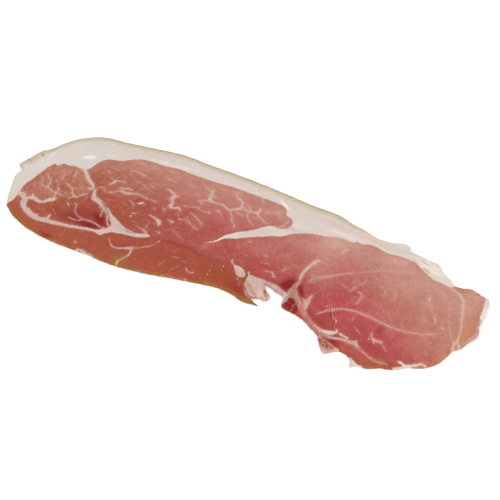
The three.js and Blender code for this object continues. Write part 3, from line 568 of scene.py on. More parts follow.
    Band("last seam's peak", ((89, -34.4, 1.0), (89.4, -33.2, 0.35)), 0.7, Tissue.FAT),
    Band("last seam's run", (
        (91.6, -36.8, 0.8), (94, -37.8, 0.6), (96.6, -38.6, 0.55), (99.4, -39.6, 0.6), (102.4, -40.3, 0.8),
        (105.4, -40, 0.6), (108, -39.6, 0.25),
    ), 0.52, Tissue.SHEET),
    Band("white rim", (
        (112.4, -35.4, 0.4), (113.4, -35.2, 0.4), (115.2, -35.6, 0.5), (117, -36, 1.1), (118.6, -34.8, 0.8),
        (120.6, -33.2, 0.8), (122.4, -31.3, 0.4), (123.4, -30.8, 0.35), (125.2, -31.4, 0.2),
    ), 1.0, Tissue.CAP, beads=2.6),
    Band("white rim's foot", (
        (117, -36.6, 1.0), (115.2, -38.4, 0.9), (112.8, -40.4, 0.7),
    ), 0.8, Tissue.CAP),
    Band("pale edge below it", (
        (117.4, -37.2, 0.3), (121, -34.6, 0.4), (125, -32.6, 0.3),
    ), 0.4, Tissue.CAP),
    Band("pale edge of the flap", (
        (137, 8.6, 0.5), (136.8, 5, 0.45), (138.3, 0, 0.4), (138.5, -2, 0.4), (136, -6.4, 0.45),
        (134.3, -12, 0.2),
    ), 0.5, Tissue.FAT),
    Band("fleshy edge by the notch", (
        (22, -27, 0.2), (23.4, -29.4, 0.3), (25.6, -31.8, 0.3), (28.6, -33.4, 0.3), (31.4, -34.2, 0.1),
    ), 0.5, Tissue.CAP, beads=1.7),
    Band("flecks beside the lump", ((17, -25.4, 0.3), (19.4, -27, 0.3), (21, -29.6, 0.2)), 0.4, beads=1.5),
    Band("spur by the notch", (
        (7.8, -14.4, 0.1), (8.6, -16.2, 0.25), (9.8, -17.7, 0.3), (11.4, -18.8, 0.4),
    ), 0.8),
    Band("hook between the lumps", ((19.8, -18, 0.15), (20.1, -18.8, 0.35), (20.7, -19.6, 0.2)), 0.9),
    Band("beaded edge of the far tab", (
        (97, -47.4, 0.3), (99.4, -47.6, 0.35), (101.8, -47, 0.3), (104, -46.4, 0.2),
    ), 0.55, Tissue.CAP, beads=1.6),
    Band("feathered top of the notch fat", (
        (27.4, -18.8, 0.4), (29, -18.9, 0.35), (31, -19.2, 0.35), (33.6, -18.8, 0.45), (36.2, -19, 0.45),
        (38.4, -19.7, 0.35), (41, -20.6, 0.3),
    ), 0.75, beads=1.3),
)

CLEFTS: tuple[Band, ...] = (
    # thin grey lines: gaps between layers, with the shadow that lies in them
    Band("groove in the slant seam", (
        (-79.4, -9.4, 0.1), (-76.4, -11.4, 0.4), (-73.6, -13.4, 0.5), (-71, -15.6, 0.4),
        (-68.4, -17.6, 0.1),
    ), 0.75),
    Band("groove over the knot", ((-55, -22.6, 0.1), (-51.6, -23.5, 0.4), (-48, -23.3, 0.2)), 0.7),
    Band("grey edge of the strip vein", ((-42.4, -36.6, 0.1), (-43, -40, 0.35), (-44.6, -43.6, 0.3)), 0.45),
    Band("grey in the slit sheet", ((50, -7.4, 0.4), (51.6, -4, 0.6), (53.8, -1.6, 0.2)), 0.5),
    Band("grey in the cord", ((44.3, -11.6, 0.25), (44.2, -12.8, 0.6), (44.5, -14.2, 0.3)), 0.65),
    Band("grey lower in the cord", ((45.6, -16, 0.4), (46.1, -17.8, 0.5)), 0.6),
    Band("grey bar behind the cord", ((45.2, -23.6, 0.5), (45.8, -25.6, 0.8), (46, -28, 0.5)), 0.5),
    Band("grey on the spike", ((55.6, -18.4, 0.1), (55.8, -20, 0.3), (55.8, -21.4, 0.1)), 0.3),
    Band("grey line in the fat", ((92.6, 36.3, 0.1), (94.8, 35.6, 0.3), (97, 34.6, 0.1)), 0.5),
    Band("olive line in the fat", ((96, 31.2, 0.1), (98.4, 30.4, 0.5), (101, 29.4, 0.1)), 0.5),
    Band("edge of the rind's tip", ((-133.8, -1.4, 0.1), (-136, -1.6, 0.3), (-138.6, -1.4, 0.2)), 0.3),
)

CREASES: tuple[Band, ...] = (
    # thin brownish red lines where lean shows between lumps of fat; the one beside the stitches is painted
    # shadow
    Band("slit between the lumps", (
        (18.6, -19.2, 0.15), (20.2, -20.6, 0.4), (20.9, -22.6, 0.4), (20.8, -25, 0.3),
    ), 0.7),
    Band("wedge in the large lump", (
        (32.6, -24.2, 0.2), (34, -26, 0.8), (35.6, -27.8, 1.0), (37, -29.6, 0.3),
    ), 1.0),
    Band("red streak in the lump", (
        (25.8, -27.2, 0.15), (27.6, -29, 0.35), (29.6, -30.6, 0.45), (32, -31.9, 0.2),
    ), 0.45),
    Band("short streak in the lump", ((23.4, -21.6, 0.1), (25, -24.2, 0.2), (27, -27, 0.1)), 0.16),
    Band("long streak in the lump", ((25.4, -20.2, 0.1), (28, -24, 0.25), (31, -28.4, 0.1)), 0.18),
    Band("right streak in the lump", ((29, -20.4, 0.1), (31, -23.2, 0.2), (33, -26, 0.1)), 0.14),
    Band("foot of the lump", ((24, -29.4, 0.2), (26.4, -31.4, 0.4), (29.4, -33, 0.3)), 0.6),
    Band("red line in the cord", (
        (46.8, -13, 0.2), (48, -16.6, 0.3), (50.8, -20.4, 0.35), (54, -23.4, 0.25), (57, -26.4, 0.15),
    ), 0.4),
    Band("second line in the cord", ((45, -18.4, 0.2), (47.4, -21.6, 0.3), (50.4, -24.4, 0.2)), 0.4),
    Band("brown edge of the cord", (
        (52, -30.8, 0.3), (55.6, -30.8, 0.35), (58.4, -32.2, 0.35), (62, -34.4, 0.3), (66, -36.6, 0.3),
        (70, -38.6, 0.4), (72.4, -39.6, 0.3),
    ), 0.7),
    Band("brown edge of the dark lump", ((45, -28.4, 0.3), (46, -30.2, 0.5), (48.4, -30.6, 0.3)), 0.6),
    # painted shadow along the row of stitches
    Band("dark beside the stitches", (
        (68.4, -19.8, 0.3), (70.4, -22, 0.4), (72.6, -25.6, 0.3), (75.6, -30.2, 0.2),
    ), 0.35),
    Band("gap under the last seam", (
        (76.6, -36.9, 0.2), (78.6, -35.6, 0.5), (81, -34.8, 0.5), (83.6, -34.6, 0.15),
    ), 0.75),
    Band("gap in the white rim", ((116, -35.2, 0.2), (118.6, -36.2, 0.3), (121, -33.6, 0.2)), 0.3),
    Band("line in the far fat", (
        (49, 41.4, 0.2), (54, 40, 0.3), (58.4, 38.2, 0.35), (66, 36.4, 0.3), (74, 34.6, 0.15),
    ), 0.22),
    Band("second line in the far fat", ((84, 37.2, 0.1), (90, 36.4, 0.3), (95, 34.8, 0.15)), 0.2),
    Band("third line in the far fat", ((86, 33.8, 0.1), (92, 33.8, 0.2), (99, 31, 0.15)), 0.16),
    Band("red line over the end", ((20.6, 24.6, 0.15), (24, 23.6, 0.35), (29, 23.4, 0.15)), 0.22),
    Band("line in the near fat", ((-122, 27, 0.1), (-119, 31, 0.3), (-113, 35.4, 0.1)), 0.08),
)

MUSCLES: tuple[Muscle, ...] = (
    Muscle("short upper muscle", (
        (-128, -26), (-128, 0), (-120, 9), (-110, 11), (-104, 9.5), (-96, 3), (-90.5, -2), (-92, -10),
        (-104, -19), (-110, -26),
    ), -52, threads=0.5, strokes=0.3, pale=0.16, brown=0.9),
    Muscle("short lower muscle", (
        (-122, -27), (-110, -26), (-104, -20), (-92, -10), (-89, -2), (-80, -10), (-64, -20), (-64, -26),
        (-68, -31), (-84, -35), (-102, -38), (-112, -36),
    ), -38, threads=0.14, strokes=0.26, brown=0.55),
    Muscle("long muscle", (
        (-54, 38), (0, 40), (14, 36), (22, 28), (14, 20), (-5, 4), (-12, -9), (-20, -19), (-39, -21),
        (-50, -23), (-64, -18), (-56, -4), (-58, 14),
    ), -32, threads=0.04, strokes=0.24),
    Muscle("long muscle's left end", (
        (-104, 9.5), (-103, 20), (-90, 30), (-80, 36), (-54, 38), (-58, 14), (-56, -4), (-64, -18),
        (-80, -10), (-89, -1), (-92, 2),
    ), -8, threads=0.05, strokes=0.37, brown=0.3),
    Muscle("strip", (
        (-126, -30), (-118, -34), (-102, -39), (-84, -36), (-66, -32), (-56, -27), (-44, -25), (-39, -21),
        (-20, -19), (8, -18), (20, -24), (38, -36), (0, -50), (-100, -60),
    ), 12, threads=0.05, strokes=0.14, brown=0.42),
    Muscle("inner thigh muscle", (
        (-20, -19), (-12, -9), (0, 2), (16, 12), (24, 21), (40, 28), (60, 32), (70, 12), (60, 4), (50, -7),
        (46, -9), (44, -20), (22, -19), (8, -17),
    ), -28, strokes=0.28, rose=0.3),
    Muscle("round muscle", (
        (60, 32), (70, 34), (92, 33), (108, 24), (122, 20), (127, 9), (132, -8), (131, -26), (124, -32),
        (110, -41), (96, -38), (80, -34), (62, -31), (52, -20), (46, -9), (50, -7), (60, 4), (70, 12),
    ), -45, strokes=0.2),
    Muscle("outer muscle", (
        (112, 26), (122, 20), (127, 9), (132, -8), (134, -18), (146, 0), (142, 30), (120, 34),
    ), -68, strokes=0.1),
    Muscle("fat cap", FAT_CAP, 2),
    Muscle("large lump", NOTCH_FAT, -54),
    Muscle("small lump", SMALL_LUMP, -50),
    Muscle("cord", (
        (43, -8), (48, -9), (51, -18), (58, -24), (76, -33), (78, -40), (68, -39), (56, -33), (44, -24),
    ), -44, strokes=0.3, rose=0.3),
)

PALE_AND_SHEEN = ovals(
    # paler lean; the patches at (84, 26) and (112, 12), on the round muscle's upper right, are partly paler
    # lean and partly a painted sheen
    (129, 14, 8, 15, 0, 0.18), (46, 27, 12, 5, 0, 0.12), (60, -7, 7, 9, 0, 0.1), (118, -24, 9, 8, 0, 0.1),
    (-85, 24, 6, 5, 0, -0.08), (-26, 23, 6, 3, 0, -0.07), (-123.6, -28, 2.4, 6, 10, 0.2),
    (128, 25, 4.4, 2.6, 0, 0.5), (-26, 0, 8, 8, 0, 0.06), (0, 38, 400, 25, 0, 0.55),
    (-118, -12, 7, 9, 0, 0.12), (-108, 3, 11, 5, 0, 0.1), (-105, -7, 5, 5, 0, -0.14),
    (-9, -10, 5, 7, 0, 0.14), (46, 25, 9, 8, 10, 0.32), (59, 22, 18, 9, 0, 0.18), (50, 2, 7, 9, 0, 0.26),
    (84, 26, 11, 5, -8, 0.18), (112, 12, 34, 26, 0, 0.45), (124, -14, 14, 12, 0, 0.25),
    (100, -13, 12, 8, 0, 0.1), (20, 2, 26, 12, 0, 0.13), (38, 15, 14, 5, 0, 0.14), (48, 10, 8, 7, 0, 0.12),
    (87, 12, 12, 8, 0, 0.14), (-105, 17, 8, 8, 0, 0.14), (-76, 4, 10, 9, 0, 0.1), (24, 34, 30, 4, 0, 0.06),
    (118, 2, 8, 8, 0, 0.03), (-4, 32, 14, 7, 0, -0.07), (40, 19, 7, 6, 0, 0.05), (90, 24, 9, 6, 0, -0.05),
    (114, 6, 9, 8, 0, -0.03), (134, 1, 4, 5, 0, 0.06),
)

ROSE = ovals(
    (-120, -31, 2.6, 3.4, 0, 0.6), (128, 20, 5, 6, 0, 0.3), (60, -4, 8, 10, 0, -0.15),
    (-12, 10, 32, 24, 0, 0.6), (-28, 20, 22, 10, 0, 0.25), (-30, -16, 20, 7, 0, 0.22),
    (36, 23, 7, 6, 0, 0.3), (100, -22, 18, 16, 0, 0.16), (-115, -35.4, 6, 2.4, -35, 0.5),
    (29, 16, 10, 9, 0, 0.25), (32, -12, 12, 6, 0, 0.2), (46, 25, 9, 8, 0, -0.25), (58, 12, 14, 11, 0, 0.35),
    (68, -8, 24, 18, 0, 0.8), (94, -28, 30, 18, -10, 0.9),
)

BROWN = ovals(
    (12, -30, 18, 8, 0, 0.3), (108, -40, 10, 4, 20, 0.6), (80, -37, 3, 1.2, 20, 0.8),
    (120, 25.6, 4, 2.6, 0, 0.6), (-88, 16, 20, 14, 0, 0.3), (-106, -34, 26, 12, 0, 0.22),
    (-28, -27, 30, 6, 2, -0.36), (8, -34, 12, 2, 5, -0.2),
)

SAND = ovals(
    # dry lean, almost beige, round the knuckle end
    (126.6, 24, 7, 5, 0, 0.42), (134.6, 8, 3, 14, 0, 0.45), (134, -8, 3.6, 8, 20, 0.6),
    (130, -22, 3, 8, 15, 0.6), (124, -30, 4, 3, 30, 0.4), (118, 4, 16, 26, 0, 0.12),
)

DARK_AND_SHADE = ovals(
    # darker, redder lean; the three thin ovals near y -19 from x -26 to 6, along the lip of the strip, and
    # those at (70.4, -23) and (75, -29.4), beside the stitches, are painted shade
    (-74.4, -20, 8.4, 4, -32, 0.66), (-70.6, -22.6, 6, 2.6, -34, 0.5), (-72, -28, 5, 1.6, 8, 0.3),
    (-84, -21.6, 9, 4, -14, 0.45), (-76, -28.6, 9, 2.2, 8, 0.85), (-91, -28.4, 9, 4, 0, 0.5),
    (24, -32.6, 8, 4, -20, 0.55), (-25, -30, 32, 9, 6, 0.16), (-60, -40, 12, 5, 0, 0.08),
    (-4, -36, 12, 2.5, 6, 0.12), (-85.4, -26, 4, 2.6, 0, 0.3), (-75, -30.8, 4, 1.5, 6, 0.3),
    (-62, 3, 2.4, 4, 0, 0.2), (-47, -33.4, 4, 2.4, 0, 0.24), (-56, -35, 5, 2, 0, 0.14),
    (-99, -25, 5, 2.4, -30, 0.14), (-6, 16, 40, 24, 0, 0.07), (14, -27, 16, 7, 0, 0.25),
    (41.6, -14.6, 2.2, 4.4, -4, 1.9), (38.6, -15, 2.4, 4, 0, 0.45), (37.4, -17, 4, 2, 0, 0.3),
    (49.6, -16.3, 3.4, 1.0, -52, 2.0), (47.6, -13, 1.3, 2.4, 0, 0.5), (49, -27, 2.8, 3.1, 0, 1.8),
    (51.6, -29.6, 3, 1.6, 0, 0.6), (48.4, -25.4, 1.1, 1, 0, 0.8), (49.6, -28.9, 1.3, 0.9, 0, 0.8),
    (53, -29.4, 1.3, 1.8, 0, 2.2), (70.4, -23, 3.4, 1.0, -55, 0.4), (75, -29.4, 2.4, 0.9, -60, 0.4),
    (-89, -46.4, 3.4, 1.2, 0, 0.8), (-94, -46, 2, 0.9, 0, 0.5), (96, -20.8, 1.7, 4, 8, 0.5),
    (87, -25, 6, 6, 0, 0.2), (100, -34, 6, 3, -10, 0.08), (68, -24, 4, 7, 30, 0.25),
    (68, -31.4, 7, 2.8, -24, 0.4), (60, -26.6, 3.4, 1.8, -45, 0.3), (79.6, -39.4, 3.6, 1.8, -20, 0.9),
    (96, -33, 12, 4, -10, 0.2), (-26, -19.6, 11, 1.4, 8, 0.34), (-12, -19.6, 7, 1.4, -8, 0.28),
    (6, -18.6, 12, 1.4, 8, 0.18), (-60, 0.4, 5, 3, 0, 0.2), (-89, -10, 7, 8, 0, 0.12),
)

OCHRE = ovals(
    (-46.2, -43.4, 2.6, 4.6, 10, 1.1), (-41, -43, 1.6, 3.4, 0, 0.4), (30, -35, 7, 2.2, -14, 0.7),
    (20, -26.6, 2.6, 2.4, 0, 0.3), (-30, -46.5, 12, 2, 14, 0.3), (-122.6, 3.6, 1.6, 4, 30, 0.5),
    (-124, -4, 1.2, 7, 0, 0.2), (-117, 8, 3, 1.2, 10, 0.4), (119.6, 25.8, 5.4, 2.4, 10, 0.42),
    (134, 11, 2.4, 8, 0, 0.14), (104, -45, 9, 1.6, 20, 0.3), (-90, -46.4, 5, 1.6, 0, -0.9),
)

STAIN = ovals(
    # brown marks on fat and lean alike
    (-131.8, 6.2, 0.8, 1, 0, 0.9), (-131.4, 16.6, 0.8, 1.2, 10, 0.5), (-138, -0.8, 2, 1, 0, 0.7),
    (-133, 1, 1.2, 4, -20, 0.25), (128.4, 26.9, 0.9, 1.0, 0, 1.2), (79.1, 12.5, 0.7, 0.8, 0, 1.0),
    (-1, 0, 0.8, 0.6, 0, 0.5), (12, 2.8, 0.6, 0.8, 0, 0.4), (77.2, -42.6, 2.8, 2.3, -20, 1.5),
    (74.2, -40.8, 2.4, 1.6, -40, 1.4), (80.6, -43, 2.2, 1.1, -20, 0.7), (80.8, -47.6, 1.2, 1.2, 0, 0.9),
    (73.4, -42.4, 0.8, 2.2, 30, 0.6), (79, -45.4, 2, 1, 0, 0.3), (94.4, -48.8, 1, 1, 0, 0.35),
    (36.8, -31, 2, 0.7, 0, 0.4), (22, -26, 1.2, 3.4, 20, 0.3), (46.4, -20.4, 1.2, 2.6, 0, 0.35),
    (120, -32.4, 4, 1, 38, 0.3), (31, -32.8, 2, 0.6, 0, 0.5),
)

FAT_TONE_AND_GLINT = ovals(
    # whiter fat, or greyer where the amount is negative; the first two ovals, by the greasy lump, and the
    # small one at (-60, 0.6) are painted glints
    (-108.4, 21, 3.8, 2.5, 22, 1.6), (-111.6, 18.9, 2.8, 1, 15, 0.9), (-121, 25, 3, 8, -30, 0.3),
    (-56, 39.2, 10, 1.2, 6, 0.15), (-14, 41, 20, 1.2, 0, 0.3), (-105, 25, 10, 12, 0, -0.3),
    (-105, 12, 12, 6, 0, -0.25), (-52, 40.6, 6, 1.4, 0, 0.35), (-70, 38, 12, 1.6, 6, 0.4),
    (9, 39.8, 5.6, 0.9, -28, 1.0), (26, 27.6, 8, 4, 20, 0.5), (8, 11, 10, 4, 40, 0.12),
    (48, 33.6, 16, 1.4, -4, 0.5), (100, 33, 14, 5, -25, 0.62), (80, 41, 5, 3, 0, 0.2),
    (137, 14, 3, 12, 0, 0.55), (-129, 14, 1.6, 10, 10, 0.5), (94, -47, 2.4, 2.4, 0, 0.3),
    (26, -22, 4, 3, -30, 0.15), (15, -20, 3, 2, -30, 0.2), (34, -20, 8, 1.6, -8, 0.1),
    (75, -35.4, 3, 2, 0, 0.4), (84, -33.6, 2, 0.8, 0, 0.8), (114, -35.6, 3, 1.2, 0, 0.8),
    (-83.2, 8.6, 1.4, 1.4, 0, 0.6), (-60, 0.6, 1.4, 1.4, 0, 0.9), (45.6, -26, 1.4, 3, 0, -0.8),
)

WAX = ovals(
    # yellower fat
    (33, -27.4, 3.4, 4.4, 0, 0.5), (78, -43.4, 6, 3.4, 0, 0.8), (83, -43.8, 1.8, 1.4, 0, 0.5),
    (94, -46.8, 3, 2.4, 0, 0.5), (-126, -31, 3, 8, 0, 0.35), (-133, 4, 2, 8, 0, 0.2),
    (17, -22, 2.6, 1.3, -20, 0.36), (118, -36.6, 6, 1.2, 30, 0.4), (136.8, 20, 1.4, 7, 0, 0.2),
    (-9.5, -7, 2, 2, 0, 0.5), (56, 43, 18, 1.6, -16, 0.6),
)

FLUSH = ovals(
    # pinker fat
    (-20, 44, 60, 6, -2, 0.09), (28, 32, 34, 12, 10, 0.09), (92, 36, 30, 6, -10, 0.05),
    (26, -26, 7, 6, -50, 0.34), (8, 11, 10, 4, 40, 0.16), (35, -20.4, 9, 1.6, -8, 0.3),
    (-58, -21.6, 11, 3.4, -14, 0.1), (-82, -9, 9, 2.6, -22, 0.14), (-100, -37, 22, 2.6, 8, 0.16),
    (-119, -30, 3, 4.4, 0, 0.3), (79, -45, 2.6, 2, 0, 0.16), (29, -31, 5, 1.4, -30, 0.3),
    (-80, 40, 22, 4, 10, 0.12), (-114, 33, 12, 4, 30, 0.06), (44, 38.4, 16, 1.3, -10, 0.14),
    (70, 37, 12, 1.0, -4, 0.12), (22, 23.6, 5, 1.6, 20, 0.3), (18, -22, 2.6, 2, 0, 0.2),
    (40, -22, 4, 1.4, 0, 0.45), (60, -30.6, 7, 2.4, -40, 0.3), (90, -36, 5, 1.4, 0, 0.2),
)

RELIEF: tuple[Ridge, ...] = (
    Ridge("crease in the large lump", ((32, -22.8), (34.2, -26), (36, -29.6)), -0.5, 0.7),
    Ridge("fold beside it", ((30.6, -23), (32.6, -27), (33.4, -30)), 0.25, 1.0),
    Ridge("lobe of the large lump", ((23.6, -22), (26, -26), (29.6, -30)), 0.3, 1.4),
    Ridge("second lobe of it", ((27, -20.6), (29, -24), (32, -29)), 0.15, 1.0),
    Ridge("cleft between the lumps", ((19, -18.4), (20.4, -21), (21, -25), (24.4, -29.4)), -0.5, 0.7),
    Ridge("cleft under the small lump", ((12, -21), (15, -24), (19, -25)), -0.25, 0.8),
    Ridge("spur", ((7.8, -14.6), (10, -17.8), (12.4, -19)), 0.4, 0.7),
    Ridge("pit by the cord", ((40.6, -12), (41.8, -16.6)), -0.5, 1.8),
    Ridge("groove beside the cord", ((47, -13), (49.4, -16), (51, -18.2)), -0.4, 1.0),
    Ridge("cord", ((44.8, -12), (46, -18), (52, -24), (60, -30), (70, -35.6)), 0.3, 1.2),
    Ridge("dark lump", ((48, -25.4), (49.4, -28.4)), 0.4, 1.6),
    Ridge("stitched groove", ((68.4, -19.4), (71, -23.4), (75, -28), (77.6, -32)), -0.3, 0.9),
    Ridge("lip of the strip", ((-37, -21.6), (-20, -21), (-4, -20), (7, -17)), -0.3, 1.1),
    Ridge("slit", ((49.6, -7.4), (51.4, -4.6), (55.4, -0.8)), -0.3, 0.6),
    Ridge("groove in the slant seam", ((-78.4, -10), (-73.6, -13.4), (-68.6, -17.4)), -0.25, 0.5),
    Ridge("groove over the knot", ((-54.4, -22.9), (-51, -23.6), (-48, -23.3)), -0.25, 0.5),
    Ridge("greasy lump", ((-112, 19), (-106, 21.6)), 0.25, 1.4),
    Ridge("ridge in the far fat", ((40, 36.6), (58, 35), (70, 35.4)), 0.25, 0.9),
    Ridge("groove in the far fat", ((92, 36.4), (97, 34.6)), -0.3, 0.5),
    Ridge("second groove there", ((95, 31.4), (101, 29.4)), -0.3, 0.6),
)

SPECKS: tuple[Strand, ...] = (
    # x, y and radius of the white crystals and crumbs that stand on the lean
    (6.6, -21.6, 0.36), (1.6, -27.1, 0.3), (2, -29.7, 0.34), (7.2, -24.3, 0.28), (-58.8, -11.2, 0.6),
    (-54.8, -14.4, 0.26), (93.8, -29.1, 0.44), (74.6, -26, 0.46), (13.2, -22.2, 0.22), (-33.2, -22.2, 0.32),
    # the pair at (-59.8, 1.2) and (-58.6, 0.9) is partly crumbs and partly a painted glint
    (-31.8, 4.2, 0.2), (-75.6, 5.6, 0.26), (-79.6, 0.3, 0.3), (-83.4, 8.8, 0.4), (-59.8, 1.2, 0.4),
    (-58.6, 0.9, 0.3), (112.9, -35.3, 0.44), (84.2, -33.6, 0.38), (122.3, -4.8, 0.26), (-98.4, 1.2, 0.18),
    (19.4, -28.6, 0.2), (17.2, -26, 0.18), (-3.2, -35, 0.18), (-72.4, -43.4, 0.26),
    # the cluster at the foot of the lower sheet
    (65.2, -19.6, 0.2), (65.6, -18.6, 0.26), (66.4, -17.6, 0.28), (67.2, -18.8, 0.24), (67.6, -17.4, 0.26),
    (68.4, -18.4, 0.22), (66.6, -19.6, 0.22), (68.8, -19.6, 0.2),
)

SPECK_ROWS: tuple[SpeckRow, ...] = (
    SpeckRow("stitches", (
        (69.6, -20.6), (71, -23), (72, -24.4), (73.6, -25), (74.8, -26), (75, -28.2), (75.8, -30.2),
        (76.8, -31.8), (78, -32.4),
    ), 1.05, 0.2),
    SpeckRow("crumbs over the last seam", (
        (78.6, -32.4), (80.6, -33.2), (82.6, -33.2), (84, -33.6),
    ), 0.9, 0.28),
    SpeckRow("beads of the long muscle", (
        (-80.4, -0.2), (-79, 0.8), (-77.8, 2), (-76.8, 2.8), (-75.8, 3.6),
    ), 1.3, 0.22),
    SpeckRow("beads of the bowed vein", ((-76.8, 5.4), (-74.8, 6.1), (-73, 7.2), (-71.2, 7.6)), 1.4, 0.22),
    SpeckRow("crumbs of the white vein", ((-81.4, 10.1), (-79.6, 10.8), (-78, 11.4)), 1.2, 0.2),
    SpeckRow("crumbs on the white rim", (
        (117.4, -35.6), (119.4, -33.8), (122, -31.4), (124.6, -31),
    ), 1.2, 0.34),
)

ISLANDS: tuple[tuple[tuple[Plan, ...], float], ...] = (
    # the other grounds of fat, and how pink each is
    (SEAM_KNOT, 0.3), (NOTCH_FAT, 0.25), (SMALL_LUMP, 0.35), (LOWER_TABS, 0.36), (CORNER_TAB, 0.05),
    (FLAP_RIM, 0.0),
)

TINTS: dict[str, tuple[Patch, ...]] = {
    "pale": PALE_AND_SHEEN, "rose": ROSE, "brown": BROWN, "dark": DARK_AND_SHADE, "ochre": OCHRE, "sand": SAND,
    "stain_and_shade": STAIN, "fat_tone_and_glint": FAT_TONE_AND_GLINT, "wax": WAX,
}

SWELLS: tuple[tuple[float, float, float], ...] = (
    # height, size and seed of the gentle unevenness of the upper face
    (0.10, 9.0, 1.0), (0.06, 3.6, 2.0), (0.03, 1.6, 4.0),
)

CUT_EDGE: tuple[tuple[float, float], ...] = (
    # how far down the cut edge, and how far out of the inset it bulges there
    (0.3, 0.8), (0.7, 1.0),
)


# ---- Plan geometry -------------------------------------------------------------------------


def smooth_line(points: Sequence[Sequence[float]], step: float) -> np.ndarray:
    """Samples a smooth line through points.

    Args:
        points: Rows of x, y and any values that go with them.
        step: Distance between samples, mm.

    Returns:
        The samples, with the same columns.
    """
    rows = np.array(points, float)
    padded = np.vstack([2 * rows[0] - rows[1], rows, 2 * rows[-1] - rows[-2]])
    samples = []
    for before, start, end, after in zip(padded, padded[1:], padded[2:], padded[3:]):
        count = max(1, round(float(np.hypot(*(end - start)[:2])) / step))
        t = (np.arange(count) / count)[:, None]
        samples.append(
            0.5 * (2 * start + (end - before) * t
                   + (2 * before - 5 * start + 4 * end - after) * t**2
                   + (3 * start - before - 3 * end + after) * t**3)
        )
    return np.vstack([*samples, rows[-1:]])


def closed_line(points: Sequence[Plan], step: float) -> np.ndarray:
    """Samples a smooth closed line through points, without repeating the first."""
    around = [points[-1], *points, points[0], points[1]]
    line = smooth_line(around, step)
    away = np.hypot(*(line - np.array(points[0])).T)
    start = int(np.argmin(away))
    away[: start + 5] = np.inf
    return line[start : int(np.argmin(away))]


def nearest_on_line(spots: np.ndarray, line: np.ndarray) -> tuple[np.ndarray, np.ndarray]:
    """Finds how far spots are from a line, and what the line's values are there.

    Args:
        spots: Rows of x and y, mm.
        line: Rows of x, y and any further values.

    Returns:
        The distances, and a row of the line's columns at each nearest point.
    """
    start, run = line[:-1], np.diff(line, axis=0)
    length = np.maximum((run[:, :2] ** 2).sum(1), 1e-12)
    distance = np.empty(len(spots))
    values = np.empty((len(spots), line.shape[1]))
    batch = 2000
    for first in range(0, len(spots), batch):
        part = spots[first : first + batch]
        gap = part[:, None, :] - start[None, :, :2]
        along = np.clip((gap * run[None, :, :2]).sum(2) / length, 0, 1)
        away = np.hypot(*(gap - along[..., None] * run[None, :, :2]).transpose(2, 0, 1))
        best = away.argmin(1)
        rows = np.arange(len(part))
        distance[first : first + batch] = away[rows, best]
        values[first : first + batch] = start[best] + along[rows, best][:, None] * run[best]
    return distance, values


def inside(spots: np.ndarray, ring: np.ndarray) -> np.ndarray:
    """Tells which spots lie inside a closed ring of points."""
    x, y = spots[:, 0], spots[:, 1]
    found = np.zeros(len(spots), bool)
    for (x0, y0), (x1, y1) in zip(ring, np.roll(ring, -1, axis=0)):
        if y0 != y1:
            crosses = ((y0 > y) != (y1 > y)) & (x < x0 + (y - y0) * (x1 - x0) / (y1 - y0))
            found ^= crosses
    return found


def signed_distance(spots: np.ndarray, ring: np.ndarray) -> np.ndarray:
    """Distance to a closed ring, mm, positive inside it."""
    distance, _ = nearest_on_line(spots, np.vstack([ring, ring[:1]]))
    return np.where(inside(spots, ring), distance, -distance)


def patch_weight(spots: np.ndarray, patches: Iterable[Patch]) -> np.ndarray:
    """Adds up soft oval patches at spots, kept between -1 and 1."""
    total = np.zeros(len(spots))
    for patch in patches:
        turn = math.radians(patch.turn)
        dx, dy = spots[:, 0] - patch.x, spots[:, 1] - patch.y
        u = (dx * math.cos(turn) + dy * math.sin(turn)) / patch.along
        v = (dy * math.cos(turn) - dx * math.sin(turn)) / patch.across
        total += patch.amount * np.exp(-(u**2) - v**2)
    return np.clip(total, -1, 1)


def wave(x: float, y: float, size: float, seed: float) -> float:
    """Smooth noise from -1 to 1 at a place on the plan, with bumps of about that size, mm."""
    return noise.noise(Vector((x / size, y / size, seed)))


def show(name: str, data: bpy.types.ID) -> bpy.types.Object:
    """Adds a mesh, light or camera to the scene as an object of that name."""
    made = bpy.data.objects.new(name, data)
    bpy.context.scene.collection.objects.link(made)
    return made


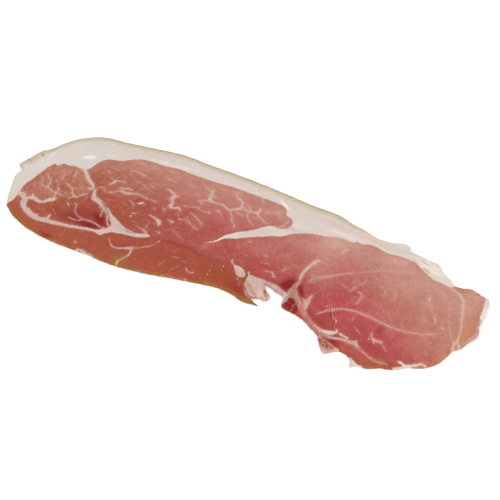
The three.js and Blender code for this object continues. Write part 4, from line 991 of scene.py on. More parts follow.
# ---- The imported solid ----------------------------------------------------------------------


class PackedSolid:
    """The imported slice, as something to measure: its outline and its two faces."""

    def __init__(self, node: str) -> None:
        """Reads the node's mesh and welds its corners.

        Args:
            node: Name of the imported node.
        """
        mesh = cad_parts[node].data
        corners = np.array([v.co for v in mesh.vertices]) / MM
        _, first, weld = np.unique(
            np.round(corners, 3), axis=0, return_index=True, return_inverse=True
        )
        self.corners = corners[first]
        mesh.calc_loop_triangles()
        triangles = np.array([t.vertices[:] for t in mesh.loop_triangles])
        self.triangles = weld.reshape(-1)[triangles]
        self.tree = BVHTree.FromPolygons(self.corners.tolist(), self.triangles.tolist())

    def outline(self) -> np.ndarray:
        """Returns the slice's outline as a closed ring, anticlockwise from above."""
        a, b, c = (self.corners[self.triangles[:, k]] for k in range(3))
        normals = np.cross(b - a, c - a)
        normals /= np.maximum(np.linalg.norm(normals, axis=1), 1e-12)[:, None]
        faces_up = normals[:, 2] > 0.3
        follows: dict[int, int] = {}
        edges = {
            (int(t[k]), int(t[(k + 1) % 3]))
            for t in self.triangles[faces_up]
            for k in range(3)
        }
        for start, end in edges:
            if (end, start) not in edges:
                follows[start] = end
        ring = [next(iter(sorted(follows)))]
        while (following := follows[ring[-1]]) != ring[0]:
            ring.append(following)
        return self.corners[ring][:, :2]

    def heights(self, spots: np.ndarray) -> tuple[np.ndarray, np.ndarray]:
        """Heights of the upper face and the underside at spots, mm."""
        above, below = [], []
        for x, y in spots:
            hit = self.tree.ray_cast(Vector((x, y, FAR)), Vector((0, 0, -1)))[0]
            foot = self.tree.ray_cast(Vector((x, y, -FAR)), Vector((0, 0, 1)))[0]
            if hit is None or foot is None:
                hit = self.tree.find_nearest(Vector((x, y, 2)))[0]
                foot = self.tree.find_nearest(Vector((x, y, -1)))[0]
            above.append(hit.z)
            below.append(foot.z)
        return np.array(above), np.array(below)


# ---- Shader wiring -------------------------------------------------------------------------


class Wiring:
    """Adds nodes to one node tree and links them."""

    def __init__(self, tree: bpy.types.NodeTree) -> None:
        """Takes the tree to wire."""
        self.tree = tree

    def node(self, kind: str, **settings: object) -> bpy.types.Node:
        """Adds a node of a kind and sets its properties."""
        made = self.tree.nodes.new(kind)
        for name, value in settings.items():
            setattr(made, name, value)
        return made

    def feed(self, socket: bpy.types.NodeSocket, value: object) -> None:
        """Links an output to a socket, or sets the socket to a plain value."""
        if isinstance(value, bpy.types.NodeSocket):
            self.tree.links.new(value, socket)
        else:
            socket.default_value = value

    def math(self, operation: str, *values: object, clamp: bool = False) -> bpy.types.NodeSocket:
        """A Math node of sockets or numbers."""
        made = self.node("ShaderNodeMath", operation=operation, use_clamp=clamp)
        for socket, value in zip(made.inputs, values):
            self.feed(socket, value)
        return made.outputs[0]

    def vector(self, operation: str, *values: object) -> bpy.types.NodeSocket:
        """A Vector Math node of sockets or vectors."""
        made = self.node("ShaderNodeVectorMath", operation=operation)
        for socket, value in zip(made.inputs, values):
            self.feed(socket, value)
        return made.outputs["Vector"]

    def ramp(self, value: object, low: object, high: object) -> bpy.types.NodeSocket:
        """0 below low, 1 above high and smooth between them."""
        made = self.node("ShaderNodeMapRange", interpolation_type="SMOOTHSTEP")
        for name, fed in zip(("Value", "From Min", "From Max"), (value, low, high)):
            self.feed(made.inputs[name], fed)
        return made.outputs["Result"]

    def mix(
        self, share: object, under: object, over: object, blend: str = "MIX"
    ) -> bpy.types.NodeSocket:
        """Lays one colour over another."""
        made = self.node("ShaderNodeMix", data_type="RGBA", blend_type=blend)
        self.feed(made.inputs["Factor"], share)
        self.feed(made.inputs[MIX_UNDER], under)
        self.feed(made.inputs[MIX_OVER], over)
        return made.outputs[MIX_RESULT]

    def times(self, value: object, factor: object, clamp: bool = False) -> bpy.types.NodeSocket:
        """One value times another."""
        return self.math("MULTIPLY", value, factor, clamp=clamp)

    def line(
        self, value: object, slope: object, start: object, clamp: bool = False
    ) -> bpy.types.NodeSocket:
        """A value times a slope, plus a start."""
        return self.math("MULTIPLY_ADD", value, slope, start, clamp=clamp)

    def off(self, value: object) -> bpy.types.NodeSocket:
        """How far a pattern's value, 0 to 1, is from its middle."""
        return self.math("SUBTRACT", value, 0.5)

    def attribute(self, name: str) -> bpy.types.NodeSocket:
        """The value of a mesh attribute."""
        return self.node("ShaderNodeAttribute", attribute_name=name).outputs["Fac"]

    def place(self) -> bpy.types.NodeSocket:
        """The place on the piece, in millimetres."""
        spot = self.node("ShaderNodeTexCoord").outputs["Object"]
        return self.vector("MULTIPLY", spot, (1 / MM, 1 / MM, 1 / MM))

    def group(self, tree: bpy.types.NodeTree, **inputs: object) -> bpy.types.NodeSocket:
        """Places a node group and gives its output."""
        made = self.node("ShaderNodeGroup", node_tree=tree)
        for name, value in inputs.items():
            self.feed(made.inputs[name], value)
        return made.outputs[0]


def start_group(
    name: str, inputs: dict[str, float], output: str
) -> tuple[Wiring, bpy.types.Node, bpy.types.Node]:
    """Starts a node group of float inputs and one float output.

    Args:
        name: The group's name.
        inputs: Each input's name and default.
        output: The output's name.

    Returns:
        The wiring of its tree, its input node and its output node.
    """
    tree = bpy.data.node_groups.new(name, "ShaderNodeTree")
    for label, default in inputs.items():
        socket = tree.interface.new_socket(label, in_out="INPUT", socket_type="NodeSocketFloat")
        socket.default_value = default
    tree.interface.new_socket(output, in_out="OUTPUT", socket_type="NodeSocketFloat")
    wiring = Wiring(tree)
    return wiring, wiring.node("NodeGroupInput"), wiring.node("NodeGroupOutput")


class Effects:
    """The shared effects of cured meat, each a node group that is built once."""

    def __init__(self) -> None:
        """Builds the groups."""
        self.mottle = self._mottle()
        self.fibre = self._fibre()
        self.threads = self._threads()
        self.edge = self._edge()

    def _mottle(self) -> bpy.types.NodeTree:
        """Soft uneven patches, 0 to 1."""
        w, given, made = start_group("mottle", {"Size": 5.0, "Detail": 3.0, "Seed": 0.0}, "Value")
        spot = w.vector("ADD", w.place(), self._shift(w, given))
        cloud = w.node("ShaderNodeTexNoise", noise_dimensions="3D")
        w.feed(cloud.inputs["Vector"], spot)
        w.feed(cloud.inputs["Scale"], w.math("DIVIDE", 1.0, given.outputs["Size"]))
        w.feed(cloud.inputs["Detail"], given.outputs["Detail"])
        w.feed(made.inputs["Value"], cloud.outputs["Fac"])
        return w.tree

    @staticmethod
    def _shift(w: Wiring, given: bpy.types.Node) -> bpy.types.NodeSocket:
        """A shift of the pattern by the group's Seed."""
        shift = w.node("ShaderNodeCombineXYZ")
        w.feed(shift.inputs["Z"], w.times(given.outputs["Seed"], 37.0))
        return shift.outputs[0]

    @staticmethod
    def _along_grain(w: Wiring, given: bpy.types.Node) -> bpy.types.NodeSocket:
        """The place, turned so that X runs along the fibres, and measured in Length and Width."""
        turned = w.node("ShaderNodeVectorRotate", rotation_type="Z_AXIS", invert=True)
        w.feed(turned.inputs["Vector"], w.place())
        w.feed(turned.inputs["Angle"], given.outputs["Grain"])
        share = w.node("ShaderNodeCombineXYZ")
        w.feed(share.inputs["X"], w.math("DIVIDE", 1.0, given.outputs["Length"]))
        w.feed(share.inputs["Y"], w.math("DIVIDE", 1.0, given.outputs["Width"]))
        w.feed(share.inputs["Z"], 0.15)
        return w.vector("MULTIPLY", turned.outputs[0], share.outputs[0])

    def _fibre(self) -> bpy.types.NodeTree:
        """Streaks along the fibres, 0 to 1."""
        w, given, made = start_group(
            "fibre", {"Grain": 0.0, "Length": 6.0, "Width": 0.7, "Detail": 3.0, "Bend": 0.0},
            "Streak",
        )
        bend = w.off(w.group(self.mottle, Size=7.0, Detail=2.0, Seed=7.0))
        aside = w.node("ShaderNodeCombineXYZ")
        w.feed(aside.inputs["Y"], w.times(bend, given.outputs["Bend"]))
        cloud = w.node("ShaderNodeTexNoise")
        spot = w.vector("ADD", self._along_grain(w, given), aside.outputs[0])
        w.feed(cloud.inputs["Vector"], spot)
        w.feed(cloud.inputs["Scale"], 1.0)
        w.feed(cloud.inputs["Detail"], given.outputs["Detail"])
        w.feed(cloud.inputs["Roughness"], 0.6)
        w.feed(made.inputs["Streak"], cloud.outputs["Fac"])
        return w.tree

    def _threads(self) -> bpy.types.NodeTree:
        """A broken net of fine pale threads between bundles of fibres, as a mask."""
        w, given, made = start_group(
            "threads",
            {"Grain": 0.0, "Length": 6.0, "Width": 3.0, "Line": 0.05, "Gaps": 0.5, "Seed": 0.0},
            "Mask",
        )
        spot = w.vector("ADD", self._along_grain(w, given), self._shift(w, given))
        cloud = w.node("ShaderNodeTexNoise")
        w.feed(cloud.inputs["Vector"], spot)
        w.feed(cloud.inputs["Scale"], 1.3)
        bent = w.vector("ADD", spot, w.vector("MULTIPLY", cloud.outputs["Color"], (0.5, 0.5, 0.0)))
        cells = w.node("ShaderNodeTexVoronoi", feature="DISTANCE_TO_EDGE")
        w.feed(cells.inputs["Vector"], bent)
        w.feed(cells.inputs["Scale"], 1.0)
        line = w.ramp(cells.outputs["Distance"], given.outputs["Line"], 0.0)
        gaps = given.outputs["Gaps"]
        broken = w.ramp(cloud.outputs["Fac"], gaps, w.math("ADD", gaps, 0.15))
        w.feed(made.inputs["Mask"], w.times(line, broken))
        return w.tree

    def _edge(self) -> bpy.types.NodeTree:
        """Turns a signed distance, mm, into a mask with a soft and slightly ragged edge."""
        w, given, made = start_group(
            "tissue_edge",
            {"Distance": 0.0, "Ragged": 0.15, "Size": 1.0, "Soft": 0.2, "Seed": 0.0},
            "Mask",
        )
        size, seed = given.outputs["Size"], given.outputs["Seed"]
        push = w.off(w.group(self.mottle, Size=size, Detail=4.0, Seed=seed))
        push = w.times(push, w.times(given.outputs["Ragged"], 4.0))
        moved = w.math("ADD", given.outputs["Distance"], push)
        low = w.times(given.outputs["Soft"], -1.3)
        w.feed(made.inputs["Mask"], w.ramp(moved, low, given.outputs["Soft"]))
        return w.tree


# ---- Finishes ------------------------------------------------------------------------------


@dataclass(frozen=True)
class CuredMeat:
    """The cut face of cured ham: lean, fat, sinew, rind and the dried outer face."""

    lean: Colour = srgb(157, 70, 52)
    # paler lean, also laid on as a painted sheen on the round muscle's upper right
    pale: Colour = srgb(196, 150, 134)
    rose: Colour = srgb(171, 69, 71)
    brown: Colour = srgb(158, 76, 42)
    sand: Colour = srgb(186, 128, 92)
    # dark red lean, also laid on as painted shade along the lip of the strip and beside the stitches
    dark: Colour = srgb(127, 2, 8)
    ochre: Colour = srgb(150, 92, 30)
    fat: Colour = srgb(208, 197, 189)
    fat_grey: Colour = srgb(203, 197, 191)
    fat_wax: Colour = srgb(203, 188, 152)
    # whiter fat, and the painted glints on the fat
    fat_white_and_glint: Colour = srgb(234, 223, 214)
    flesh: Colour = srgb(182, 112, 102)
    # brown stains and creases; beside the stitches this colour is painted shadow
    stain_and_shade: Colour = srgb(146, 64, 42)
    cleft: Colour = srgb(116, 108, 106)
    sinew: Colour = srgb(194, 146, 134)
    rind: Colour = srgb(190, 173, 144)
    rind_skin: Colour = srgb(138, 127, 96)
    lean_roughness: float = 0.5
    fat_roughness: float = 0.55
    specular: float = 0.2
    bump: float = 0.5
    worn_share: float = 0.6
    subsurface: float = 0.12
    subsurface_radius: tuple[float, float, float] = (1.0, 0.35, 0.25)
    subsurface_depth: float = 1.2

    def material(self, effects: Effects) -> bpy.types.Material:
        """Builds the material.

        Args:
            effects: The shared node groups.

        Returns:
            The material, which reads the attributes of the slice's mesh.
        """
        made = bpy.data.materials.new("cured_meat")
        made.use_nodes = True
        w = Wiring(made.node_tree)
        shader = made.node_tree.nodes["Principled BSDF"]
        grain = w.attribute("grain")

        broad = w.group(effects.mottle, Size=14.0, Detail=2.0, Seed=1.0)
        fine = w.group(effects.mottle, Size=1.2, Detail=4.0, Seed=2.0)
        patchy = w.group(effects.mottle, Size=4.0, Detail=3.0, Seed=8.0)
        seam = w.attribute("seam")
        fat = w.group(effects.edge, Distance=seam, Ragged=0.3, Size=1.7, Soft=0.32)
        worn = w.group(effects.mottle, Size=2.2, Detail=2.0, Seed=6.0)
        strength = w.attribute("strength")
        worn = w.times(w.ramp(worn, 0.6, 0.38), w.math("SUBTRACT", 1.0, strength))
        left = w.math("SUBTRACT", strength, w.times(worn, self.worn_share))
        fat = w.times(fat, left)
        streak = w.group(effects.fibre, Grain=grain, Length=4.6, Width=1.0, Detail=3.0, Bend=4.0)
        coarse = w.group(
            effects.threads, Grain=grain, Length=4.4, Width=2.6, Line=0.12, Gaps=0.4, Seed=0.0
        )
        close = w.group(
            effects.threads, Grain=grain, Length=2.4, Width=1.5, Line=0.16, Gaps=0.5, Seed=4.0
        )
        threads = w.math("MAXIMUM", coarse, w.times(close, 0.8))
        threads = w.times(threads, w.attribute("threads"))
        strokes = w.times(w.ramp(streak, 0.5, 0.66), w.ramp(patchy, 0.36, 0.56))
        strokes = w.times(strokes, w.attribute("strokes"))

        lean = self._lean(w, broad, patchy, fine, streak, w.math("MAXIMUM", threads, strokes))
        pale = self._fat(w, effects, streak)
        colour = w.mix(fat, lean, pale)
        marks = w.line(w.ramp(fine, 0.36, 0.58), 0.6, 0.4)
        marks = w.times(w.attribute("stain_and_shade"), marks)
        colour = w.mix(marks, colour, self.stain_and_shade)
        colour = w.mix(w.attribute("cleft"), colour, self.cleft)
        w.feed(shader.inputs["Base Color"], colour)

        gloss = w.line(fine, 0.25, -0.12)
        rough = w.math("ADD", self.lean_roughness, gloss)
        rough = w.line(fat, self.fat_roughness - self.lean_roughness, rough)
        w.feed(shader.inputs["Roughness"], rough)

        height = w.times(w.off(streak), 0.16)
        height = w.line(fine, 0.10, height)
        height = w.times(height, w.line(fat, -0.6, 1.0))
        bump = w.node("ShaderNodeBump")
        w.feed(bump.inputs["Strength"], self.bump)
        w.feed(bump.inputs["Distance"], MM)
        w.feed(bump.inputs["Height"], height)
        w.feed(shader.inputs["Normal"], bump.outputs[0])
        shader.inputs["Subsurface Weight"].default_value = self.subsurface
        shader.inputs["Subsurface Radius"].default_value = self.subsurface_radius
        shader.inputs["Subsurface Scale"].default_value = self.subsurface_depth * MM
        shader.inputs["Specular IOR Level"].default_value = self.specular
        return made

    def _lean(
        self, w: Wiring, broad: object, patchy: object, fine: object, streak: object, threads: object
    ) -> bpy.types.NodeSocket:
        """The colour of the lean, with its tints and its fine threads."""
        tone = self.lean
        uneven = w.math("SUBTRACT", w.line(patchy, 0.8, broad), 0.9)
        uneven = w.line(w.off(fine), 0.4, uneven)
        uneven = w.times(uneven, w.line(w.attribute("strokes"), 0.45, 0.15))
        for name, tint in (
            ("rose", self.rose), ("brown", self.brown), ("pale", self.pale),
            ("dark", self.dark), ("sand", self.sand), ("ochre", self.ochre),
        ):
            weight = w.math("ADD", uneven, w.attribute(name))
            if name == "dark":
                weight = w.line(w.off(streak), 0.8, weight)
            weight = w.times(weight, w.ramp(w.attribute(name), 0.0, 0.2), clamp=True)
            tone = w.mix(weight, tone, tint)
        grainy = w.line(w.attribute("strokes"), 0.7, 0.4)
        light = w.line(w.off(fine), grainy, 1.0)
        light = w.line(w.off(patchy), 0.12, light)
        tone = self._lit(w, tone, light)
        bare = w.line(w.attribute("dark"), -1.0, 1.0, clamp=True)
        return w.mix(w.times(threads, bare), tone, self.sinew)

    def _fat(self, w: Wiring, effects: Effects, streak: object) -> bpy.types.NodeSocket:
        """The colour of fat and sinew, darker and yellower towards the skin of the rind."""
        layers = w.group(effects.fibre, Grain=0.0, Length=20.0, Width=1.6)
        cloud = w.group(effects.mottle, Size=5.0, Detail=6.0, Seed=5.0)
        uneven = w.line(w.off(cloud), 0.8, w.attribute("fat_tone_and_glint"))
        tone = w.mix(w.ramp(uneven, 0.1, -0.7), self.fat, self.fat_grey)
        tone = w.mix(w.times(w.ramp(layers, 0.5, 0.7), 0.08), tone, self.sinew)
        tone = w.mix(w.attribute("wax"), tone, self.fat_wax)
        veined = w.line(w.ramp(streak, 0.42, 0.62), 0.6, 0.7)
        tone = w.mix(w.times(veined, w.attribute("pink"), clamp=True), tone, self.flesh)
        # whiter fat, and painted glints where the patches call for them
        tone = w.mix(w.ramp(uneven, 0.1, 1.1), tone, self.fat_white_and_glint)
        from_rind = w.line(w.off(cloud), 2.4, w.attribute("from_rind"))
        tone = w.mix(w.times(w.ramp(from_rind, 4.6, 2.2), 0.85), tone, self.rind)
        tone = w.mix(w.times(w.ramp(from_rind, 1.7, 0.3), 0.7), tone, self.rind_skin)
        grain = w.group(effects.mottle, Size=0.9, Detail=3.0, Seed=9.0)
        return self._lit(w, tone, w.line(w.off(grain), 0.16, 1.0))

    @staticmethod
    def _lit(w: Wiring, tone: object, light: object) -> bpy.types.NodeSocket:
        """Makes a colour lighter or darker."""
        grey = w.node("ShaderNodeCombineColor")
        for name in ("Red", "Green", "Blue"):
            w.feed(grey.inputs[name], light)
        return w.mix(1.0, tone, grey.outputs[0], "MULTIPLY")


@dataclass(frozen=True)
class Crystal:
    """The small white crystals and crumbs on aged lean."""

    white: Colour = srgb(228, 214, 200)
    dull: Colour = srgb(206, 176, 160)
    roughness: float = 0.3

    def material(self, effects: Effects) -> bpy.types.Material:
        """Builds the material from the shared effects."""
        made = bpy.data.materials.new("crystal_white")
        made.use_nodes = True
        w = Wiring(made.node_tree)
        shader = made.node_tree.nodes["Principled BSDF"]
        cloud = w.group(effects.mottle, Size=0.4, Detail=2.0, Seed=3.0)
        w.feed(shader.inputs["Base Color"], w.mix(cloud, self.white, self.dull))
        w.feed(shader.inputs["Roughness"], w.line(cloud, 0.2, self.roughness))
        return made


# ---- Pieces --------------------------------------------------------------------------------


@dataclass
class SliceSheet:
    """The slice as one closed skin: its two faces and the cut edge between them.

    Lengths are in millimetres. The lattice is the spacing of the points of the plan, kept clear
    of the rim and of the strands by their margins. The halo is the paler lean round each strand.
    A blend is the width over which a line or a muscle fades into what lies beside it.
    """

    solid: PackedSolid
    lattice: float = 0.8
    rim_step: float = 0.55
    ring_step: float = 0.8
    strand_step: float = 0.7
    strand_inset: float = 0.6
    rim_margin: float = 0.42
    strand_margin: float = 0.36
    halo_reach: float = 1.6
    halo_share: float = 0.32
    line_blend: float = 0.7
    muscle_blend: float = 1.4
    inset: float = 0.14
    sharp_turn: float = 50.0
    corner_reach: float = 3.0
    ragged_fat: float = 0.10
    ragged_lean: float = 0.22
    edge_reach: float = 0.9
    edge_drop: float = 0.22
    fat_rise: float = 0.10
    fat_edge: float = 0.35
    thinnest: float = 0.45
    smoothing: int = 7
    plan: np.ndarray = field(init=False)
    faces: np.ndarray = field(init=False)

    def build(self, finish: bpy.types.Material) -> bpy.types.Object:
        """Makes the mesh, gives it its fields and its finish.

        Args:
            finish: The material of the cut face.

        Returns:
            The object, at the origin, its place in its mesh.
        """
        rim = self._rim()
        lines = list(self._strand_lines(rim))
        self._triangulate(rim, lines)
        fields = self._fields(rim)
        top, under = self._surfaces(fields)
        obj = self._mesh(top, under, fields)
        obj.data.materials.append(finish)
        return obj

    def _rim(self) -> np.ndarray:
        """The outline, closely spaced, a little inside the solid's and slightly ragged."""
        ring = self.solid.outline()
        closed = np.vstack([ring, ring[:1]])
        runs = np.hypot(*np.diff(closed, axis=0).T)
        reach = np.concatenate([[0], np.cumsum(runs)])
        count = round(reach[-1] / self.rim_step)
        at = np.arange(count) * reach[-1] / count
        rim = np.column_stack([np.interp(at, reach, closed[:, k]) for k in range(2)])
        for _ in range(2):
            rim = (np.roll(rim, 1, 0) + 2 * rim + np.roll(rim, -1, 0)) / 4
        corners = ring[self._turns(ring) > math.radians(self.sharp_turn)]
        run = np.roll(rim, -1, 0) - np.roll(rim, 1, 0)
        inward = np.column_stack([-run[:, 1], run[:, 0]]) / np.hypot(*run.T)[:, None]
        rind = signed_distance(rim, closed_line(FAT_CAP, 1.0))
        moved = []
        for spot, push, cap in zip(rim, inward, rind):
            near = min(np.hypot(*(corners - spot).T).min() / self.corner_reach, 1.0)
            ragged = self.ragged_fat if cap > 0 else self.ragged_lean
            bite = wave(*spot, 1.6, 3.0) + 0.6 * wave(*spot, 0.7, 9.0)
            moved.append(spot + push * (self.inset + near * ragged * max(0.0, 0.4 + bite)))
        return np.array(moved)

    @staticmethod
    def _turns(ring: np.ndarray) -> np.ndarray:
        """How sharply a ring turns at each of its points, in radians."""
        before, after = ring - np.roll(ring, 1, 0), np.roll(ring, -1, 0) - ring
        cross = before[:, 0] * after[:, 1] - before[:, 1] * after[:, 0]
        return np.abs(np.arctan2(cross, (before * after).sum(1)))

    def _strand_lines(self, rim: np.ndarray) -> Iterable[np.ndarray]:
        """The middle lines of the thin strands, where they lie well inside the rim."""
        for band in (*BANDS, *CLEFTS, *CREASES):
            line = band.line(self.strand_step)[:, :2]
            kept = line[signed_distance(line, rim) > self.strand_inset]
            if len(kept) > 1:
                yield kept

    def _triangulate(self, rim: np.ndarray, lines: Sequence[np.ndarray]) -> None:
        """Covers the plan with small triangles whose edges follow the rim and the strands.

        Args:
            rim: The closed outline.
            lines: The strands' middle lines.
        """
        low, high = rim.min(0), rim.max(0)
        row_step = self.lattice * math.sqrt(3) / 2
        spots = []
        for k, y in enumerate(np.arange(low[1], high[1], row_step)):
            row = np.arange(low[0] + (k % 2) * self.lattice / 2, high[0], self.lattice)
            spots.append(np.column_stack([row, np.full(len(row), y)]))
        spots = np.vstack(spots)
        spots = spots[signed_distance(spots, rim) > self.rim_margin]
        clear = np.ones(len(spots), bool)
        for line in lines:
            near = np.flatnonzero(
                ((spots > line.min(0) - 1) & (spots < line.max(0) + 1)).all(1) & clear
            )
            if len(near):
                away, _ = nearest_on_line(spots[near], line)
                clear[near[away < self.strand_margin]] = False
        points = [*rim, *spots[clear]]
        edges = [(k, (k + 1) % len(rim)) for k in range(len(rim))]
        for line in lines:
            first = len(points)
            points.extend(line)
            edges.extend((first + k, first + k + 1) for k in range(len(line) - 1))
        found = delaunay_2d_cdt([Vector(p) for p in points], edges, [], 0, 1e-4)
        self.plan = np.array(found[0])[:, :2]
        faces = np.array([f for f in found[2] if len(f) == 3])
        self.faces = faces[inside(self.plan[faces].mean(1), rim)]
        used = np.unique(self.faces)
        number = np.full(len(self.plan), -1)
        number[used] = np.arange(len(used))
        self.plan, self.faces = self.plan[used], number[self.faces]

    def _fields(self, rim: np.ndarray) -> dict[str, np.ndarray]:
        """The anatomy at every point of the plan, with its painted shade, sheen and glints, by the names
        that the finish reads.
        """
        plan = self.plan
        fields = {"rim": np.abs(signed_distance(plan, rim))}
        seam = signed_distance(plan, closed_line(FAT_CAP, self.ring_step))
        strength, pink, halo = np.ones(len(plan)), np.zeros(len(plan)), np.zeros(len(plan))
        for ring, tint in ISLANDS:
            depth = signed_distance(plan, closed_line(ring, self.ring_step))
            pink = np.where(depth > seam, tint, pink)
            seam = np.maximum(seam, depth)
        for band in BANDS:
            near, depth = self._band_depth(band)
            wins = depth > seam[near]
            seam[near[wins]] = depth[wins]
            strength[near[wins]] = band.strength
            pink[near[wins]] = band.tissue.value
            share = band.strength * np.clip(1 + depth / self.halo_reach, 0, 1)
            halo[near] = np.maximum(halo[near], share)
        fields.update(seam=seam, strength=strength, cleft=self._lines(CLEFTS))
        fields["pink"] = np.clip(pink + patch_weight(plan, FLUSH), 0, 1)
        for name, tints in TINTS.items():
            fields[name] = patch_weight(plan, tints)
        # the creases join the stains; the line beside the stitches is painted shadow
        fields["stain_and_shade"] = np.maximum(fields["stain_and_shade"], self._lines(CREASES))
        fields["grain"], mixed = self._muscle_values()
        for name in ("pale", "rose", "brown"):
            fields[name] = np.clip(fields[name] + mixed[name], 0, 1)
        fields["pale"] = np.clip(fields["pale"] + self.halo_share * halo, 0, 1)
        fields.update(threads=mixed["threads"], strokes=mixed["strokes"])
        fields["ochre"] = np.clip(fields["ochre"] + self._dried(fields["rim"]), 0, 1)
        fields["from_rind"] = self._from_rind(rim)
        return fields

    def _band_depth(self, band: Band) -> tuple[np.ndarray, np.ndarray]:
        """The points near a strand, and how deep in it they lie, mm, negative outside it."""
        line = band.line(self.strand_step)
        low, high = line[:, :2].min(0) - 5, line[:, :2].max(0) + 5
        near = np.flatnonzero(((self.plan > low) & (self.plan < high)).all(1))
        distance, at = nearest_on_line(self.plan[near], line)
        return near, at[:, 2] - distance

    def _lines(self, bands: Iterable[Band]) -> np.ndarray:
        """How much of thin lines shows at each point, 0 to 1."""
        shown = np.zeros(len(self.plan))
        for band in bands:
            near, depth = self._band_depth(band)
            share = band.strength * np.clip(depth / self.line_blend + 0.6, 0, 1)
            shown[near] = np.maximum(shown[near], share)
        return shown

    def _dried(self, rim: np.ndarray) -> np.ndarray:
        """How dry and golden the lean is near its outer edge."""
        x, y = self.plan.T
        uneven = np.array([wave(a, b, 9.0, 6.0) + 0.5 * wave(a, b, 2.4, 7.0) for a, b in self.plan])
        shank_end = np.clip((-8 - x) / 20, 0, 1)
        reach = 1.3 + 0.7 * shank_end + 1.1 * uneven
        dried = np.clip(1.25 - rim / np.maximum(reach, 0.4), 0, 1)
        outer_face = (y < -20) & (x < 37)
        return np.where(outer_face, 0.85, 0.12) * dried

    def _from_rind(self, rim: np.ndarray) -> np.ndarray:
        """Distance from the rind, mm, which runs along the upper rim from its tip."""
        x, y = rim.T
        behind = (y > 38) & (x < 66)
        at_tip = (y > -6.5) & (x < -110)
        upper = rim[behind | at_tip]
        upper = upper[np.argsort(np.arctan2(upper[:, 1] + 30, upper[:, 0]))]
        distance, _ = nearest_on_line(self.plan, upper)
        towards_knuckle = np.clip((self.plan[:, 0] - 40) / 30, 0, 1)
        towards_tip = np.clip((-112 - self.plan[:, 0]) / 10, 0, 1)
        return distance + (towards_knuckle * 3.0 + towards_tip * 0.6)

    def _muscle_values(self) -> tuple[np.ndarray, dict[str, np.ndarray]]:
        """The fibres' direction in radians, and the values that blend from muscle to muscle."""
        weights = np.array([
            np.clip(signed_distance(self.plan, np.array(m.outline)) / self.muscle_blend + 0.5, 0.001, 1)
            for m in MUSCLES
        ])
        grain = np.radians([m.grain for m in MUSCLES])[np.argmax(weights, axis=0)]
        weights /= weights.sum(0)
        mixed = {
            name: np.array([getattr(m, name) for m in MUSCLES]) @ weights
            for name in ("pale", "rose", "brown", "threads", "strokes")
        }
        return grain, mixed

    def _surfaces(self, fields: dict[str, np.ndarray]) -> tuple[np.ndarray, np.ndarray]:
        """Heights of both faces, smoothed from the solid's and with the low relief on them."""
        top, under = self.solid.heights(self.plan)
        top, under = self._relax(top), self._relax(under)
        fat = 1 / (1 + np.exp(-fields["seam"] / self.fat_edge))
        swell = np.array([
            sum(height * wave(x, y, size, seed) for height, size, seed in SWELLS)
            for x, y in self.plan
        ])
        top = top + self.fat_rise * fat + swell
        for ridge in RELIEF:
            distance, _ = nearest_on_line(self.plan, smooth_line(ridge.points, 1.0))
            top += ridge.height * np.exp(-((distance / ridge.reach) ** 2))
        edge = np.clip(1 - fields["rim"] / self.edge_reach, 0, 1) ** 2
        top -= self.edge_drop * edge
        return np.maximum(top, under + self.thinnest), under

    def _sides(self) -> np.ndarray:
        """The sides of every triangle of the plan, as pairs of points."""
        return np.vstack([self.faces[:, [0, 1]], self.faces[:, [1, 2]], self.faces[:, [2, 0]]])

    def _relax(self, heights: np.ndarray) -> np.ndarray:
        """Smooths away the solid's facets."""
        pairs = self._sides()
        count = np.bincount(pairs.ravel(), minlength=len(heights))
        for _ in range(self.smoothing):
            total = np.bincount(pairs[:, 0], heights[pairs[:, 1]], len(heights))
            total += np.bincount(pairs[:, 1], heights[pairs[:, 0]], len(heights))
            heights = (heights + total / np.maximum(count, 1)) / 2
        return heights

    def _mesh(
        self, top: np.ndarray, under: np.ndarray, fields: dict[str, np.ndarray]
    ) -> bpy.types.Object:
        """Joins the two faces by a rounded cut edge, and stores the fields on the mesh."""
        count = len(self.plan)
        sides = self._sides()
        keys = sides[:, 0] * count + sides[:, 1]
        border = sides[~np.isin(keys, sides[:, 1] * count + sides[:, 0])]
        run = self.plan[border[:, 1]] - self.plan[border[:, 0]]
        outward = np.zeros((count, 2))
        for k in range(2):
            np.add.at(outward, border[:, k], np.column_stack([run[:, 1], -run[:, 0]]))
        rim = np.unique(border)
        outward = outward[rim] / np.maximum(np.hypot(*outward[rim].T), 1e-9)[:, None]
        rings, numbers = [], np.full(count, -1)
        numbers[rim] = np.arange(len(rim))
        for share, bulge in CUT_EDGE:
            z = top[rim] + share * (under[rim] - top[rim])
            rings.append(np.column_stack([self.plan[rim] + outward * bulge * self.inset, z]))
        vertices = np.vstack([
            np.column_stack([self.plan, top]), np.column_stack([self.plan, under]), *rings,
        ])
        levels = [
            np.arange(count), *(2 * count + k * len(rim) + numbers for k in range(len(CUT_EDGE))),
            np.arange(count) + count,
        ]
        faces = [*self.faces.tolist(), *(self.faces[:, ::-1] + count).tolist()]
        for upper, lower in zip(levels, levels[1:]):
            a, b = border[:, 0], border[:, 1]
            faces.extend(np.column_stack([upper[b], upper[a], lower[a], lower[b]]).tolist())
        mesh = bpy.data.meshes.new("ham_slice")
        mesh.from_pydata((vertices * MM).tolist(), [], faces)
        mesh.shade_smooth()
        source = np.concatenate([np.arange(count), np.arange(count), *[rim] * len(CUT_EDGE)])
        for name, values in fields.items():
            stored = mesh.attributes.new(name, "FLOAT", "POINT")
            stored.data.foreach_set("value", values[source].astype(np.float32))
        return show("ham_slice", mesh)


